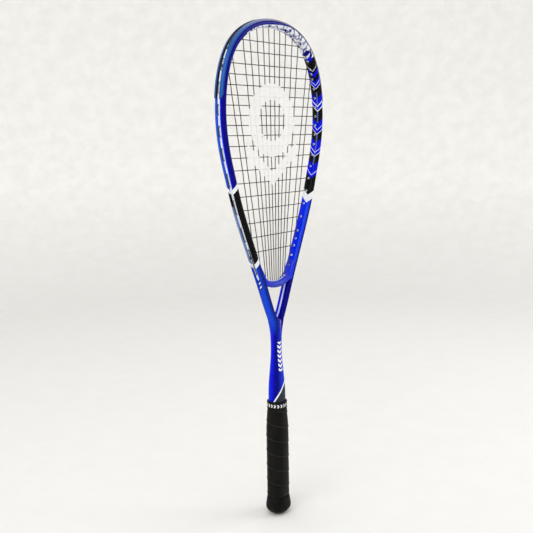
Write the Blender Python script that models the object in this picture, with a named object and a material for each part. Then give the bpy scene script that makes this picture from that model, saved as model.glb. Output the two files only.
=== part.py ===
"""Squash racket, built upright: butt at the origin, head up +Z, strings facing -Y.

Every size below is in millimetres; meshes are written in metres.
"""
import math

import bmesh
import bpy
from mathutils import Vector

MM = 0.001
GAP = 0.3

# Head outline: outer edge of the tube, half of it, (across, up) from the top down.
HEAD_TOP = 684.7
HEAD_EDGE = [
    (0.0, HEAD_TOP), (26.0, 682.2), (47.0, 676.0), (64.5, 666.8), (80.0, 653.2),
    (91.5, 636.5), (99.5, 617.4), (104.9, 595.0), (107.3, 568.0), (105.8, 540.0),
    (100.6, 512.0), (91.7, 481.0), (79.7, 443.5), (66.1, 410.0), (51.7, 377.5),
    (37.2, 345.0),
]
# Arms below the head: outer edge and inner edge of the tube, down to the crotch.
ARM_EDGES = [
    ((31.2, 331.0), (22.9, 334.4)), ((25.4, 317.0), (17.4, 320.0)),
    ((19.6, 303.5), (12.0, 306.4)), ((15.6, 294.5), (7.6, 296.4)),
    ((13.0, 288.2), (3.8, 289.4)), ((11.4, 283.5), (0.0, 284.5)),
]
TUBE_HALF = 5.0
ARM_HALF = 4.6
GROOVE = 2.6
# Tube section: (outward, front to back); points 1 and 2 are the groove floor.
TUBE_SECTION = [
    (5.0, 3.2), (2.4, 2.8), (2.4, -2.8), (5.0, -3.2), (3.9, -6.0), (1.4, -8.0), (-1.4, -8.0),
    (-3.9, -6.2), (-5.0, -2.6), (-5.0, 2.6), (-3.9, 6.2), (-1.4, 8.0), (1.4, 8.0), (3.9, 6.0),
]
# Shaft: (height, half across, half deep), from the crotch to the top of the handle.
SHAFT = [
    (278.0, 9.4, 8.4), (270.5, 8.0, 8.1), (262.0, 7.3, 7.7), (248.0, 6.9, 7.4),
    (236.0, 7.1, 7.6), (222.0, 8.0, 8.4), (208.0, 9.3, 9.6), (194.0, 10.6, 10.7),
    (181.0, 11.3, 11.2), (170.0, 11.4, 11.2), (163.3, 11.3, 11.1),
]
SHAFT_ANGLES = [68, 47, 29, 12, 7, -7, -12, -29, -47, -68]
SHAFT_POWER = 2.4
CORE = (9.0, 6.0)
CORE_END = 8.0

# Strings: cross heights from the head down, main positions at two heights.
CROSS_HEIGHTS = [
    655.6, 641.7, 626.0, 612.8, 599.6, 587.0, 574.5, 562.0, 549.5, 536.8,
    523.2, 508.4, 492.5, 475.8, 458.4, 440.8, 422.8, 403.6, 383.5,
]
MAIN_UPPER = (640.0, [5.5, 16.4, 28.5, 42.5, 58.2, 75.0, 95.2])
MAIN_LOWER = (350.0, [2.2, 6.6, 11.0, 16.2, 22.4, 29.8, 36.0])
OUTER_MAIN_FOOT = 393.0
TIE_OFF = 370.5
SHARED_STEP = 7.4
CLOSE_STEP = 4.5
BRIDGE_OUTER_MAIN = 20.3
STRING_RADIUS = 0.6
STRING_SIDES = 5
WEAVE = 1.7
LANE = -1.05

# Grommets: strip in the groove, barrels through the tube.
STRIP_HALF = 1.7
STRIP_FLOOR = 2.7
STRIP_THICK = 0.6
BARREL_RADIUS = 1.45
BORE_RADIUS = 0.95
HOLE_RADIUS = 1.8
BARREL_PROUD = 1.0
MOUTH_CLEAR = 0.8
HOLE_SIDES = 6
BUMPER_LIFT = 0.8
BUMPER_LOW = 588.0
BUMPER_INNER = [(3.15, 7.08), (4.25, 6.2), (5.35, 3.05), (2.7, 2.5)]
BUMPER_OUTER = [(3.65, 7.7), (4.9, 6.7), (6.2, 2.8), (3.2, 1.95)]

# Throat bridge: (lower point, upper point) of its half, from the middle outwards.
BRIDGE = [
    ((0.0, 330.6), (0.0, 339.0)), ((8.0, 331.1), (8.4, 339.8)),
    ((15.0, 332.6), (16.2, 341.7)), ((20.4, 334.6), (22.4, 344.8)),
]
BRIDGE_END = (336.2, 351.0)
BRIDGE_HALF_DEPTH = 7.0

# Handle: (height, half across, half deep).
PALLET = [(5.6, 13.7, 12.3), (128.0, 13.7, 12.3), (158.0, 11.2, 11.0), (162.9, 11.2, 11.0)]
BUTT_OUTER = [(0.0, 9.6, 8.4), (1.2, 13.8, 12.3), (3.4, 16.3, 14.7), (8.8, 18.0, 16.4),
              (14.0, 17.7, 16.1), (20.0, 16.8, 15.3), (25.8, 16.0, 14.6)]
BUTT_INNER = [(25.8, 14.0, 12.6), (5.3, 14.0, 12.6)]
GRIP_LOW = 26.1
GRIP_HIGH = 157.0
GRIP_PITCH = 21.8
GRIP_THICK = (1.75, 1.2)
SEAT = 0.6
TAPE_BAND = (158.2, 165.4)
COLLAR_OUTER = [(157.4, 13.6, 13.4), (165.6, 13.6, 13.4), (168.4, 13.0, 12.8)]
COLLAR_INNER = [(168.4, 11.7, 11.5), (166.0, 12.25, 12.05), (157.4, 12.25, 12.05)]
HANDLE_SIDES = 24


def clear_scene():
    for obj in list(bpy.data.objects):
        bpy.data.objects.remove(obj, do_unlink=True)


def material(name, colour, roughness, metallic=0.0):
    mat = bpy.data.materials.new(name)
    mat.use_nodes = True
    shader = mat.node_tree.nodes["Principled BSDF"]
    shader.inputs["Base Color"].default_value = (*colour, 1.0)
    shader.inputs["Roughness"].default_value = roughness
    shader.inputs["Metallic"].default_value = metallic
    mat.diffuse_color = (*colour, 1.0)
    return mat


def add_object(name, verts, faces, mat=None, sharp=35.0):
    mesh = bpy.data.meshes.new(name)
    mesh.from_pydata([tuple(c * MM for c in v) for v in verts], [], faces)
    bm = bmesh.new()
    bm.from_mesh(mesh)
    bmesh.ops.recalc_face_normals(bm, faces=bm.faces)
    bm.to_mesh(mesh)
    bm.free()
    mesh.shade_smooth()
    mesh.set_sharp_from_angle(angle=math.radians(sharp))
    obj = bpy.data.objects.new(name, mesh)
    bpy.context.collection.objects.link(obj)
    if mat is not None:
        mesh.materials.append(mat)
    return obj


def loft(rings, ring_closed=True, caps=True, base=0):
    """Quads between successive rings of equal size, with end caps."""
    verts = [v for ring in rings for v in ring]
    count = len(rings[0])
    faces = []
    for i in range(len(rings) - 1):
        for k in range(count if ring_closed else count - 1):
            j = (k + 1) % count
            a = base + i * count
            b = a + count
            faces.append((a + k, a + j, b + j, b + k))
    if caps:
        last = base + (len(rings) - 1) * count
        faces.append(tuple(base + k for k in range(count)))
        faces.append(tuple(last + k for k in range(count)))
    return verts, faces


def spline(points, steps):
    """Smooth curve through the points, mirrored about the first one."""
    first = (-points[1][0], points[1][1])
    last = tuple(2 * points[-1][k] - points[-2][k] for k in (0, 1))
    pts = [first] + list(points) + [last]
    out = []
    for i in range(1, len(pts) - 2):
        p0, p1, p2, p3 = pts[i - 1:i + 3]
        for step in range(steps):
            t = step / steps
            out.append(tuple(
                0.5 * (2 * p1[k] + (p2[k] - p0[k]) * t
                       + (2 * p0[k] - 5 * p1[k] + 4 * p2[k] - p3[k]) * t * t
                       + (3 * p1[k] - p0[k] - 3 * p2[k] + p3[k]) * t ** 3)
                for k in (0, 1)))
    out.append(points[-1])
    return out


RIM = spline(HEAD_EDGE, 24)
RIM_LENGTH = [0.0]
for _a, _b in zip(RIM, RIM[1:]):
    RIM_LENGTH.append(RIM_LENGTH[-1] + math.dist(_a, _b))


def rim(s):
    """Outer edge point and outward normal at distance s from the head's top."""
    side = -1.0 if s < 0 else 1.0
    d = min(abs(s), RIM_LENGTH[-1])
    i = 0
    while i < len(RIM) - 2 and RIM_LENGTH[i + 1] < d:
        i += 1
    t = (d - RIM_LENGTH[i]) / (RIM_LENGTH[i + 1] - RIM_LENGTH[i])
    x = RIM[i][0] + t * (RIM[i + 1][0] - RIM[i][0])
    z = RIM[i][1] + t * (RIM[i + 1][1] - RIM[i][1])
    before = RIM[max(i - 1, 0)]
    after = RIM[min(i + 2, len(RIM) - 1)]
    tx, tz = after[0] - before[0], after[1] - before[1]
    if d < 1.0:
        tx, tz = 1.0, 0.0
    size = math.hypot(tx, tz)
    return side * x, z, side * -tz / size, tx / size


def tube_half(z):
    return TUBE_HALF + (ARM_HALF - TUBE_HALF) * min(max((430.0 - z) / 85.0, 0.0), 1.0)


def rim_point(s, outward, y):
    """Point of the tube's section at rim distance s."""
    x, z, nx, nz = rim(s)
    shift = outward - tube_half(z)
    return Vector((x + shift * nx, y, z + shift * nz))


def solve(low, high, value):
    """Bisection for value(s) = 0 with value(low) > 0 > value(high)."""
    for _ in range(60):
        middle = 0.5 * (low + high)
        if value(middle) > 0:
            low = middle
        else:
            high = middle
    return 0.5 * (low + high)


def tip(s):
    """Mouth of the barrel on the inner side of the tube at rim distance s."""
    return rim_point(s, -(TUBE_HALF + BARREL_PROUD), 0.0)


def rim_at_height(height):
    return solve(0.0, RIM_LENGTH[-1], lambda s: tip(s).z - height)


def main_x(index, z):
    z1, upper = MAIN_UPPER
    z0, lower = MAIN_LOWER
    return lower[index] + (upper[index] - lower[index]) * (z - z0) / (z1 - z0)


def rim_at_main(index):
    """Rim distance where the main meets the head."""
    return solve(0.0, 260.0, lambda s: main_x(index, tip(s).z) - tip(s).x)


def bridge_section(t):
    """Lower and upper point of the bridge's half at station t."""
    low, high = BRIDGE[t] if t < len(BRIDGE) else (None, None)
    if low is None:
        low = (arm_inner(BRIDGE_END[0]) - GAP, BRIDGE_END[0])
        high = (arm_inner(BRIDGE_END[1]) - GAP, BRIDGE_END[1])
    return low, high


def arm_inner(z):
    """Inner edge of the arm at a height near the bridge."""
    x, oz, nx, nz = rim(RIM_LENGTH[-1])
    upper = (x - 2 * ARM_HALF * nx, oz - 2 * ARM_HALF * nz)
    lower = ARM_EDGES[0][1]
    t = (z - lower[1]) / (upper[1] - lower[1])
    return lower[0] + t * (upper[0] - lower[0])


def rim_stations():
    """Rim distances of the tube's rings: close at the head, wide on the arms."""
    stops = [0.0]
    while stops[-1] < RIM_LENGTH[-1] - 12.0:
        stops.append(stops[-1] + (12.0 if stops[-1] < 170.0 else 19.0))
    stops[-1] = RIM_LENGTH[-1]
    return stops


STATIONS = rim_stations()


def mirrored(stops):
    return [-s for s in reversed(stops[1:])] + stops


def tube_ring(outer, inner, groove):
    """Section between an outer and an inner edge point of the right side."""
    half = 0.5 * math.dist(outer, inner)
    cx, cz = 0.5 * (outer[0] + inner[0]), 0.5 * (outer[1] + inner[1])
    nx, nz = (outer[0] - inner[0]) / (2 * half), (outer[1] - inner[1]) / (2 * half)
    ring = []
    for k, (n, y) in enumerate(TUBE_SECTION):
        depth = TUBE_HALF - GROOVE * groove if k in (1, 2) else n
        n_mm = depth * half / TUBE_HALF
        ring.append(Vector((cx + n_mm * nx, y, cz + n_mm * nz)))
    return ring


def flip(ring):
    return [Vector((-v.x, v.y, v.z)) for v in ring]


def superellipse(a, b, angle, power):
    c, s = math.cos(angle), math.sin(angle)
    e = 2.0 / power
    return (a * math.copysign(abs(c) ** e, c), b * math.copysign(abs(s) ** e, s))


def oval(z, a, b, sides=HANDLE_SIDES, power=SHAFT_POWER):
    ring = []
    for k in range(sides):
        x, y = superellipse(a, b, 2 * math.pi * k / sides, power)
        ring.append(Vector((x, y, z)))
    return ring


def shaft_ring(z, a, b, power):
    ring = [Vector((0.0, -b, z))]
    for angle in SHAFT_ANGLES:
        x, y = superellipse(a, -b, math.radians(angle), power)
        ring.append(Vector((x, y, z)))
    ring.append(Vector((0.0, b, z)))
    for angle in reversed(SHAFT_ANGLES):
        x, y = superellipse(a, -b, math.radians(angle), power)
        ring.append(Vector((-x, y, z)))
    return ring


def build_frame(mat):
    """One moulded tube: head, two arms, shaft and the core inside the handle."""
    right = []
    for s in STATIONS:
        x, z, nx, nz = rim(s)
        half = tube_half(z)
        outer = (x, z)
        inner = (x - 2 * half * nx, z - 2 * half * nz)
        right.append(tube_ring(outer, inner, 1.0))
    for k, (outer, inner) in enumerate(ARM_EDGES):
        right.append(tube_ring(outer, inner, 0.55 if k == 0 else 0.0))
    crotch_z = ARM_EDGES[-1][1][1]
    for k in (7, 8, 9, 10):
        right[-1][k] = Vector((0.0, TUBE_SECTION[k][1], crotch_z))
    left = [flip(r) for r in reversed(right[1:])]
    rings = left + right
    verts, faces = loft(rings, caps=False)
    count = len(TUBE_SECTION)
    start = (len(rings) - 1) * count
    order = [start + k for k in (7, 6, 5, 4, 3, 2, 1, 0, 13, 12, 11, 10)]
    order += [k for k in (11, 12, 13, 0, 1, 2, 3, 4, 5, 6)]
    shared = {7: start + 7, 8: start + 8, 9: start + 9, 10: start + 10}
    faces = [tuple(shared.get(i, i) for i in face) for face in faces]
    shaft = [shaft_ring(z, a, b, SHAFT_POWER) for z, a, b in SHAFT]
    shaft.append(shaft_ring(SHAFT[-1][0], CORE[0], CORE[1], 3.0))
    shaft.append(shaft_ring(CORE_END, CORE[0], CORE[1], 3.0))
    base = len(verts)
    size = len(order)
    more, shaft_faces = loft(shaft, caps=False, base=base)
    verts += more
    faces += shaft_faces
    for k in range(size):
        j = (k + 1) % size
        faces.append((order[k], order[j], base + j, base + k))
    faces.append(tuple(len(verts) - size + k for k in range(size)))
    used = sorted({i for face in faces for i in face})
    renumber = {old: new for new, old in enumerate(used)}
    verts = [verts[i] for i in used]
    faces = [tuple(renumber[i] for i in face) for face in faces]
    return add_object("frame", verts, faces, mat, 40.0)


def rod(start, end, radius, sides=HOLE_SIDES):
    """Straight prism between two points."""
    axis = (end - start).normalized()
    u = axis.cross(Vector((0.0, 1.0, 0.0))).normalized()
    v = axis.cross(u)
    rings = []
    for centre in (start, end):
        ring = []
        for k in range(sides):
            a = 2 * math.pi * (k + 0.5) / sides
            ring.append(centre + radius * (math.cos(a) * u + math.sin(a) * v))
        rings.append(ring)
    return rings


def rods(name, spans, radius):
    verts, faces = [], []
    for start, end in spans:
        more, quads = loft(rod(start, end, radius), base=len(verts))
        verts += more
        faces += quads
    cutter = add_object(name, verts, faces)
    cutter.hide_render = True
    cutter.display_type = "WIRE"
    return cutter


def boolean(target, tool, operation):
    mod = target.modifiers.new(tool.name, "BOOLEAN")
    mod.operation = operation
    mod.solver = "EXACT"
    mod.object = tool


def strip_offset(s):
    """Extra lift of the strip where it lies over the bumper's floor."""
    z = rim(s)[1]
    return BUMPER_LIFT * min(max((z - BUMPER_LOW + 16.0) / 14.0, 0.0), 1.0)


def strip_rings(low, high):
    stops = [low] + [s for s in mirrored(STATIONS) if low + 2.0 < s < high - 2.0] + [high]
    rings = []
    for s in stops:
        floor = STRIP_FLOOR + strip_offset(s)
        top = floor + STRIP_THICK
        rings.append([rim_point(s, floor, -STRIP_HALF), rim_point(s, top, -STRIP_HALF),
                      rim_point(s, top, STRIP_HALF), rim_point(s, floor, STRIP_HALF)])
    return rings


def build_strip(name, rings, barrels, mat):
    """Flat strip with one barrel per hole; barrels are (mouth inside, mouth outside)."""
    verts, faces = loft(rings)
    strip = add_object(name, verts, faces, mat, 30.0)
    spans = []
    bores = []
    for inside, outside in barrels:
        axis = (outside - inside).normalized()
        spans.append((inside, outside - 0.25 * axis))
        bores.append((inside - 2.0 * axis, outside + 2.0 * axis))
    boolean(strip, rods(name + "_barrels", spans, BARREL_RADIUS), "UNION")
    boolean(strip, rods(name + "_bores", bores, BORE_RADIUS), "DIFFERENCE")
    return strip


def rim_barrel(s):
    outside = STRIP_FLOOR + STRIP_THICK + strip_offset(s)
    return tip(s), rim_point(s, outside, 0.0)


def bumper_ring(s):
    half = [(n, -y) for n, y in BUMPER_INNER] + [(n, y) for n, y in reversed(BUMPER_INNER)]
    skin = [(n, y) for n, y in BUMPER_OUTER] + [(n, -y) for n, y in reversed(BUMPER_OUTER)]
    return [rim_point(s, n, y) for n, y in half + skin]


def build_bumper(end, mat):
    stops = [-end] + [s for s in mirrored(STATIONS) if abs(s) < end - 2.0] + [end]
    verts, faces = loft([bumper_ring(s) for s in stops], caps=False)
    size = 4 * len(BUMPER_INNER)
    half = size // 2
    for base in (0, (len(stops) - 1) * size):
        for k in range(half - 1):
            faces.append((base + k, base + k + 1, base + size - k - 2, base + size - k - 1))
    return add_object("bumper_guard", verts, faces, mat, 30.0)


def bridge_ring(low, high):
    """Rounded section with a groove along its lower side."""
    lo, hi = Vector((low[0], 0.0, low[1])), Vector((high[0], 0.0, high[1]))
    up = (hi - lo).normalized()
    tall = (hi - lo).length
    d = BRIDGE_HALF_DEPTH
    section = [(tall, 4.4), (tall - 2.2, d), (2.2, d), (0.0, 4.8), (0.0, 2.7), (1.9, 2.3)]
    ring = [lo + h * up + Vector((0.0, y, 0.0)) for h, y in section]
    ring += [lo + h * up + Vector((0.0, -y, 0.0)) for h, y in reversed(section)]
    return ring


def bridge_stations():
    right = [bridge_section(t) for t in range(len(BRIDGE) + 1)]
    left = [((-lo[0], lo[1]), (-hi[0], hi[1])) for lo, hi in reversed(right[1:])]
    return left + right


def bridge_point(x, height):
    """Point above the bridge's lower edge, at a distance from the middle."""
    stations = bridge_stations()
    for (lo, hi), (lo2, hi2) in zip(stations, stations[1:]):
        if lo[0] <= x <= lo2[0]:
            t = (x - lo[0]) / (lo2[0] - lo[0])
            return Vector((x, 0.0, lo[1] + t * (lo2[1] - lo[1]) + height))
    return Vector((x, 0.0, stations[-1][0][1] + height))


def bridge_top(x):
    stations = bridge_stations()
    for (lo, hi), (lo2, hi2) in zip(stations, stations[1:]):
        if hi[0] <= x <= hi2[0]:
            t = (x - hi[0]) / (hi2[0] - hi[0])
            return hi[1] + t * (hi2[1] - hi[1])
    return stations[-1][1][1]


def throat_barrel(x):
    foot = bridge_point(x, 1.0)
    return Vector((x, 0.0, bridge_top(x) + BARREL_PROUD)), foot


def throat_strip_rings():
    """Strip rings in the bridge's groove, stopping short of the arms."""
    stations = bridge_stations()
    for near, far in ((1, 0), (-2, -1)):
        (lo, hi), (lo2, hi2) = stations[near], stations[far]
        stations[far] = tuple(
            tuple(p[k] + 0.6 * (q[k] - p[k]) for k in (0, 1)) for p, q in ((lo, lo2), (hi, hi2)))
    rings = []
    for low, high in stations:
        lo, hi = Vector((low[0], 0.0, low[1])), Vector((high[0], 0.0, high[1]))
        up = (hi - lo).normalized()
        rings.append([lo + h * up + Vector((0.0, y, 0.0)) for h, y in (
            (1.6, -STRIP_HALF), (1.0, -STRIP_HALF), (1.0, STRIP_HALF), (1.6, STRIP_HALF))])
    return rings


def sweep(path, radius, sides):
    """Tube along a path of points, mitred at the bends."""
    rings = []
    u = None
    for i, point in enumerate(path):
        before = (point - path[i - 1]).normalized() if i else None
        after = (path[i + 1] - point).normalized() if i < len(path) - 1 else None
        if before is None:
            tangent = after
        elif after is None:
            tangent = before
        else:
            tangent = (before + after).normalized()
        if u is None:
            u = tangent.orthogonal().normalized()
        step = before or after
        u = (u - u.dot(step) * step).normalized()
        v = step.cross(u)
        ring = []
        for k in range(sides):
            a = 2 * math.pi * k / sides
            offset = radius * (math.cos(a) * u + math.sin(a) * v)
            ring.append(point + offset - step * (offset.dot(tangent) / step.dot(tangent)))
        rings.append(ring)
    return rings


def string_tail(point, direction):
    """Path and radii of the small knot that ends a string."""
    steps = [(0.0, 1.0), (0.5, 1.55), (1.5, 1.55), (2.0, 0.7)]
    return [(point + direction * d, STRING_RADIUS * k) for d, k in steps]


def rim_bend(s):
    """Where a string turns into its barrel, clear of the barrel's mouth."""
    return rim_point(s, -(TUBE_HALF + BARREL_PROUD + MOUTH_CLEAR), 0.0)


def rim_exit(s, toward, lane):
    """String path out of a barrel and round into its lane of the groove."""
    top = STRIP_FLOOR + STRIP_THICK + strip_offset(s)
    run = 1.0 if toward > s else -1.0
    return [rim_bend(s), rim_point(s, top + 0.1, 0.0),
            rim_point(s + 0.7 * run, top + 1.0, 0.65 * lane),
            rim_point(s + 2.4 * run, top + 1.05, lane)]


def rim_loop(s0, s1, lane):
    """String from one barrel to the next along the outside of the head."""
    way = rim_exit(s0, s1, lane)
    back = rim_exit(s1, s0, lane)
    span = s1 - s0
    count = max(1, int(abs(span) / 13.0))
    for k in range(1, count + 1):
        s = s0 + span * k / (count + 1)
        top = STRIP_FLOOR + STRIP_THICK + strip_offset(s)
        way.append(rim_point(s, top + 1.05, lane))
    return way + back[::-1]


def throat_loop(x0, x1):
    run = 1.0 if x1 > x0 else -1.0
    way = []
    for x, turn in ((x0, run), (x1, -run)):
        inside, outside = throat_barrel(x)
        leg = [inside, outside + Vector((0, 0, 0.1)),
               bridge_point(x + 0.35 * turn, 0.3), bridge_point(x + 1.1 * turn, -0.05)]
        way.append(leg)
    return way[0] + way[1][::-1]


def build_string(name, path, mat):
    """One continuous string with a knot at both ends; path holds plain points."""
    clean = [path[0]]
    for p in path[1:]:
        if (p - clean[-1]).length > 0.15:
            clean.append(p)
    rings = sweep(clean, STRING_RADIUS, STRING_SIDES)
    for end in (0, -1):
        other = 1 if end == 0 else -2
        direction = (clean[end] - clean[other]).normalized()
        knot = string_tail(clean[end], direction)
        base = rings[end]
        added = []
        for centre, radius in knot[1:]:
            scale = radius / STRING_RADIUS
            added.append([centre + (v - clean[end]) * scale for v in base])
        rings = added[::-1] + rings if end == 0 else rings + added
    verts, faces = loft(rings)
    return add_object(name, verts, faces, mat, 60.0)


def build_main_string(tops, feet, mat):
    """Starts and ends at the outermost mains' upper ends, crossing at the throat."""
    half = []
    for index in range(7):
        if index % 2 == 0:
            if index < 6:
                half += rim_loop(tops[index], tops[index + 1], LANE)
            else:
                half += rim_exit(tops[index], tops[index] + 9.0, LANE)
        elif index < 5:
            half += throat_loop(feet[index], feet[index + 1])
        else:
            half += rim_loop(feet[index], feet[index + 1], LANE)
    mirror = [Vector((-p.x, p.y, p.z)) for p in half]
    middle = throat_loop(-feet[0], feet[0])
    return build_string("main_string", mirror[::-1] + middle + half, mat)


def build_cross_string(cross_s, mains, mat):
    path = []
    for k, s in enumerate(cross_s):
        side = 1 if k % 2 else -1
        z = CROSS_HEIGHTS[k]
        row = [Vector((x, WEAVE * (-1) ** (j + k), z)) for x, j in mains(z)]
        if side < 0:
            row = row[::-1]
        if k == 0:
            path += rim_exit(s, s - 7.0, -LANE)[::-1]
        path += row
        if k < len(cross_s) - 1:
            path += rim_loop(side * s, side * cross_s[k + 1], -LANE)
        else:
            path += rim_exit(side * s, side * (s + 9.0), -LANE)
    return build_string("cross_string", path, mat)


def half_shell(rings_outer, rings_inner, side):
    """Half of a hollow oval bar, on the side y > 0 or y < 0."""
    rings = []
    steps = 8
    for (z, a, b), (ia, ib) in zip(rings_outer, rings_inner):
        ring = []
        for k in range(steps + 1):
            x, y = superellipse(a, b, math.pi * k / steps, SHAFT_POWER)
            ring.append(Vector((x, side * max(y, 0.15), z)))
        for k in range(steps, -1, -1):
            x, y = superellipse(ia, ib, math.pi * k / steps, 3.0)
            ring.append(Vector((x, side * max(y, 0.15), z)))
        rings.append(ring)
    return rings


def build_shell(name, outer, inner, mat, sharp=35.0):
    """Closed sleeve turned from an outer and an inner profile."""
    rings = [oval(z, a, b) for z, a, b in outer + inner]
    rings.append(rings[0])
    verts, faces = loft(rings[:-1], caps=False)
    size = len(rings[0])
    last = (len(rings) - 2) * size
    for k in range(size):
        j = (k + 1) % size
        faces.append((last + k, last + j, j, k))
    return add_object(name, verts, faces, mat, sharp)


def build_cup(name, outer, inner, mat):
    """Closed cup: outer profile up, inner profile down to a floor."""
    verts, faces = loft([oval(z, a, b) for z, a, b in outer + inner])
    return add_object(name, verts, faces, mat, 35.0)


def pallet_size(z):
    for (z0, a0, b0), (z1, a1, b1) in zip(PALLET, PALLET[1:]):
        if z <= z1:
            t = (z - z0) / (z1 - z0)
            return a0 + t * (a1 - a0), b0 + t * (b1 - b0)
    return PALLET[-1][1:]


def build_grip(mat):
    """Spiral tape: each turn is thicker at its lower edge, ends cut to a taper."""
    turns = (GRIP_HIGH - GRIP_LOW) / GRIP_PITCH + 1.0
    steps = 20
    rings = []
    count = int(turns * steps)
    for i in range(1, count):
        u = i / steps
        angle = math.pi - 2 * math.pi * u
        low = max(GRIP_LOW, GRIP_LOW + GRIP_PITCH * (u - 1.0))
        high = min(GRIP_HIGH, GRIP_LOW + GRIP_PITCH * u - GAP)
        if high - low < 0.8:
            continue
        ring = []
        for z, skin in ((low, 0.0), (low, GRIP_THICK[0]), (high, GRIP_THICK[1]), (high, 0.0)):
            a, b = pallet_size(z)
            x, y = superellipse(a + SEAT + skin, b + SEAT + skin, angle, SHAFT_POWER)
            ring.append(Vector((x, y, z)))
        rings.append(ring)
    verts, faces = loft(rings)
    return add_object("grip_tape", verts, faces, mat, 25.0)


def main():
    clear_scene()
    paint = material("blue_paint", (0.01, 0.04, 0.75), 0.25)
    bridge_paint = material("bridge_paint", (0.02, 0.06, 0.65), 0.25)
    bumper_plastic = material("bumper_plastic", (0.25, 0.40, 0.75), 0.40)
    white_left = material("grommet_white_left", (0.82, 0.83, 0.86), 0.45)
    white_right = material("grommet_white_right", (0.82, 0.83, 0.86), 0.45)
    white_head = material("grommet_white_head", (0.82, 0.83, 0.86), 0.45)
    white_throat = material("grommet_white_throat", (0.82, 0.83, 0.86), 0.45)
    main_gut = material("main_string_black", (0.02, 0.02, 0.02), 0.35)
    cross_gut = material("cross_string_black", (0.02, 0.02, 0.02), 0.35)
    foam_front = material("handle_foam_front", (0.30, 0.28, 0.24), 0.80)
    foam_back = material("handle_foam_back", (0.30, 0.28, 0.24), 0.80)
    cap_rubber = material("butt_rubber", (0.015, 0.015, 0.015), 0.60)
    grip_black = material("grip_black", (0.02, 0.02, 0.02), 0.55)
    tape_black = material("tape_black", (0.03, 0.03, 0.03), 0.40)
    collar_black = material("collar_rubber", (0.015, 0.015, 0.015), 0.50)

    cross_s = [rim_at_height(z) for z in CROSS_HEIGHTS]
    tops = [rim_at_main(j) for j in range(4)]
    tops += [cross_s[0] - CLOSE_STEP, cross_s[1] + SHARED_STEP, 0.5 * (cross_s[2] + cross_s[3])]
    feet = [main_x(j, MAIN_LOWER[0] - 6.0) for j in range(4)] + [BRIDGE_OUTER_MAIN]
    feet += [rim_at_main_foot(5), rim_at_height(OUTER_MAIN_FOOT)]
    tie_off = rim_at_height(TIE_OFF)
    side_holes = sorted(cross_s + tops[4:] + feet[5:] + [tie_off])
    head_holes = [-s for s in reversed(tops[:4])] + tops[:4]

    frame = build_frame(paint)
    spans = [(tip(s), rim_point(s, 9.0, 0.0)) for s in
             head_holes + side_holes + [-s for s in side_holes]]
    boolean(frame, rods("frame_hole_cutters", spans, HOLE_RADIUS), "DIFFERENCE")

    bumper_end = solve(0.0, RIM_LENGTH[-1], lambda s: rim(s)[1] - BUMPER_LOW)
    bumper = build_bumper(bumper_end, bumper_plastic)
    covered = [s for s in head_holes + side_holes + [-s for s in side_holes]
               if abs(s) < bumper_end + 3.0]
    spans = [(rim_point(s, 2.45, 0.0), rim_point(s, 6.0, 0.0)) for s in covered]
    boolean(bumper, rods("bumper_hole_cutters", spans, HOLE_RADIUS - 0.05), "DIFFERENCE")

    seam = 0.5 * (tops[3] + side_holes[0])
    end = side_holes[-1] + 16.0
    build_strip("grommet_strip_head", strip_rings(-seam + 0.4, seam - 0.4),
                [rim_barrel(s) for s in head_holes], white_head)
    build_strip("grommet_strip_right", strip_rings(seam, min(end, RIM_LENGTH[-1] - 1.0)),
                [rim_barrel(s) for s in side_holes], white_right)
    build_strip("grommet_strip_left", strip_rings(-min(end, RIM_LENGTH[-1] - 1.0), -seam),
                [rim_barrel(-s) for s in side_holes], white_left)

    verts, faces = loft([bridge_ring(lo, hi) for lo, hi in bridge_stations()])
    bridge = add_object("throat_bridge", verts, faces, bridge_paint, 40.0)
    throat_x = [-x for x in reversed(feet[:5])] + feet[:5]
    spans = [(bridge_point(x, -3.0), Vector((x, 0.0, bridge_top(x) + 3.0))) for x in throat_x]
    boolean(bridge, rods("bridge_hole_cutters", spans, HOLE_RADIUS), "DIFFERENCE")
    build_strip("grommet_strip_throat", throat_strip_rings(),
                [throat_barrel(x) for x in throat_x], white_throat)

    build_main_string(tops, feet, main_gut)
    build_cross_string(cross_s, lambda z: mains_at(z, tops, feet), cross_gut)

    inner = [(CORE[0] + GAP, CORE[1] + GAP)] * len(PALLET)
    for name, side, mat in (("handle_pallet_front", -1, foam_front),
                            ("handle_pallet_back", 1, foam_back)):
        verts, faces = loft(half_shell(PALLET, inner, side))
        add_object(name, verts, faces, mat, 35.0)

    build_cup("butt_cap", BUTT_OUTER, BUTT_INNER, cap_rubber)
    build_grip(grip_black)
    z0, z1 = TAPE_BAND
    build_shell("finishing_tape", [(z0, 11.9, 11.7), (z1, 11.9, 11.7)],
                [(z1, 11.6, 11.4), (z0, 11.6, 11.4)], tape_black)
    build_shell("grip_collar", COLLAR_OUTER, COLLAR_INNER, collar_black)


def rim_at_main_foot(index):
    """Rim distance on the arm where a main's foot leaves the strung area."""
    low = rim_at_height(420.0)
    return solve(low, RIM_LENGTH[-1], lambda s: tip(s).x - main_x(index, tip(s).z))


def mains_at(z, tops, feet):
    """Where the mains stand at a height, from left to right, with their numbers."""
    found = []
    for j in range(7):
        top = rim_bend(tops[j])
        foot = throat_barrel(feet[j])[0] if j < 5 else rim_bend(feet[j])
        if foot.z + 0.5 < z < top.z - 0.5:
            x = foot.x + (top.x - foot.x) * (z - foot.z) / (top.z - foot.z)
            found += [(x, 7 + j), (-x, 6 - j)]
    return sorted(found)


main()
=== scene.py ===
"""Squash racket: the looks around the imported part. Sizes below are in millimetres."""
import math

import bmesh
import bpy
from mathutils import Matrix, Vector


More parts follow.
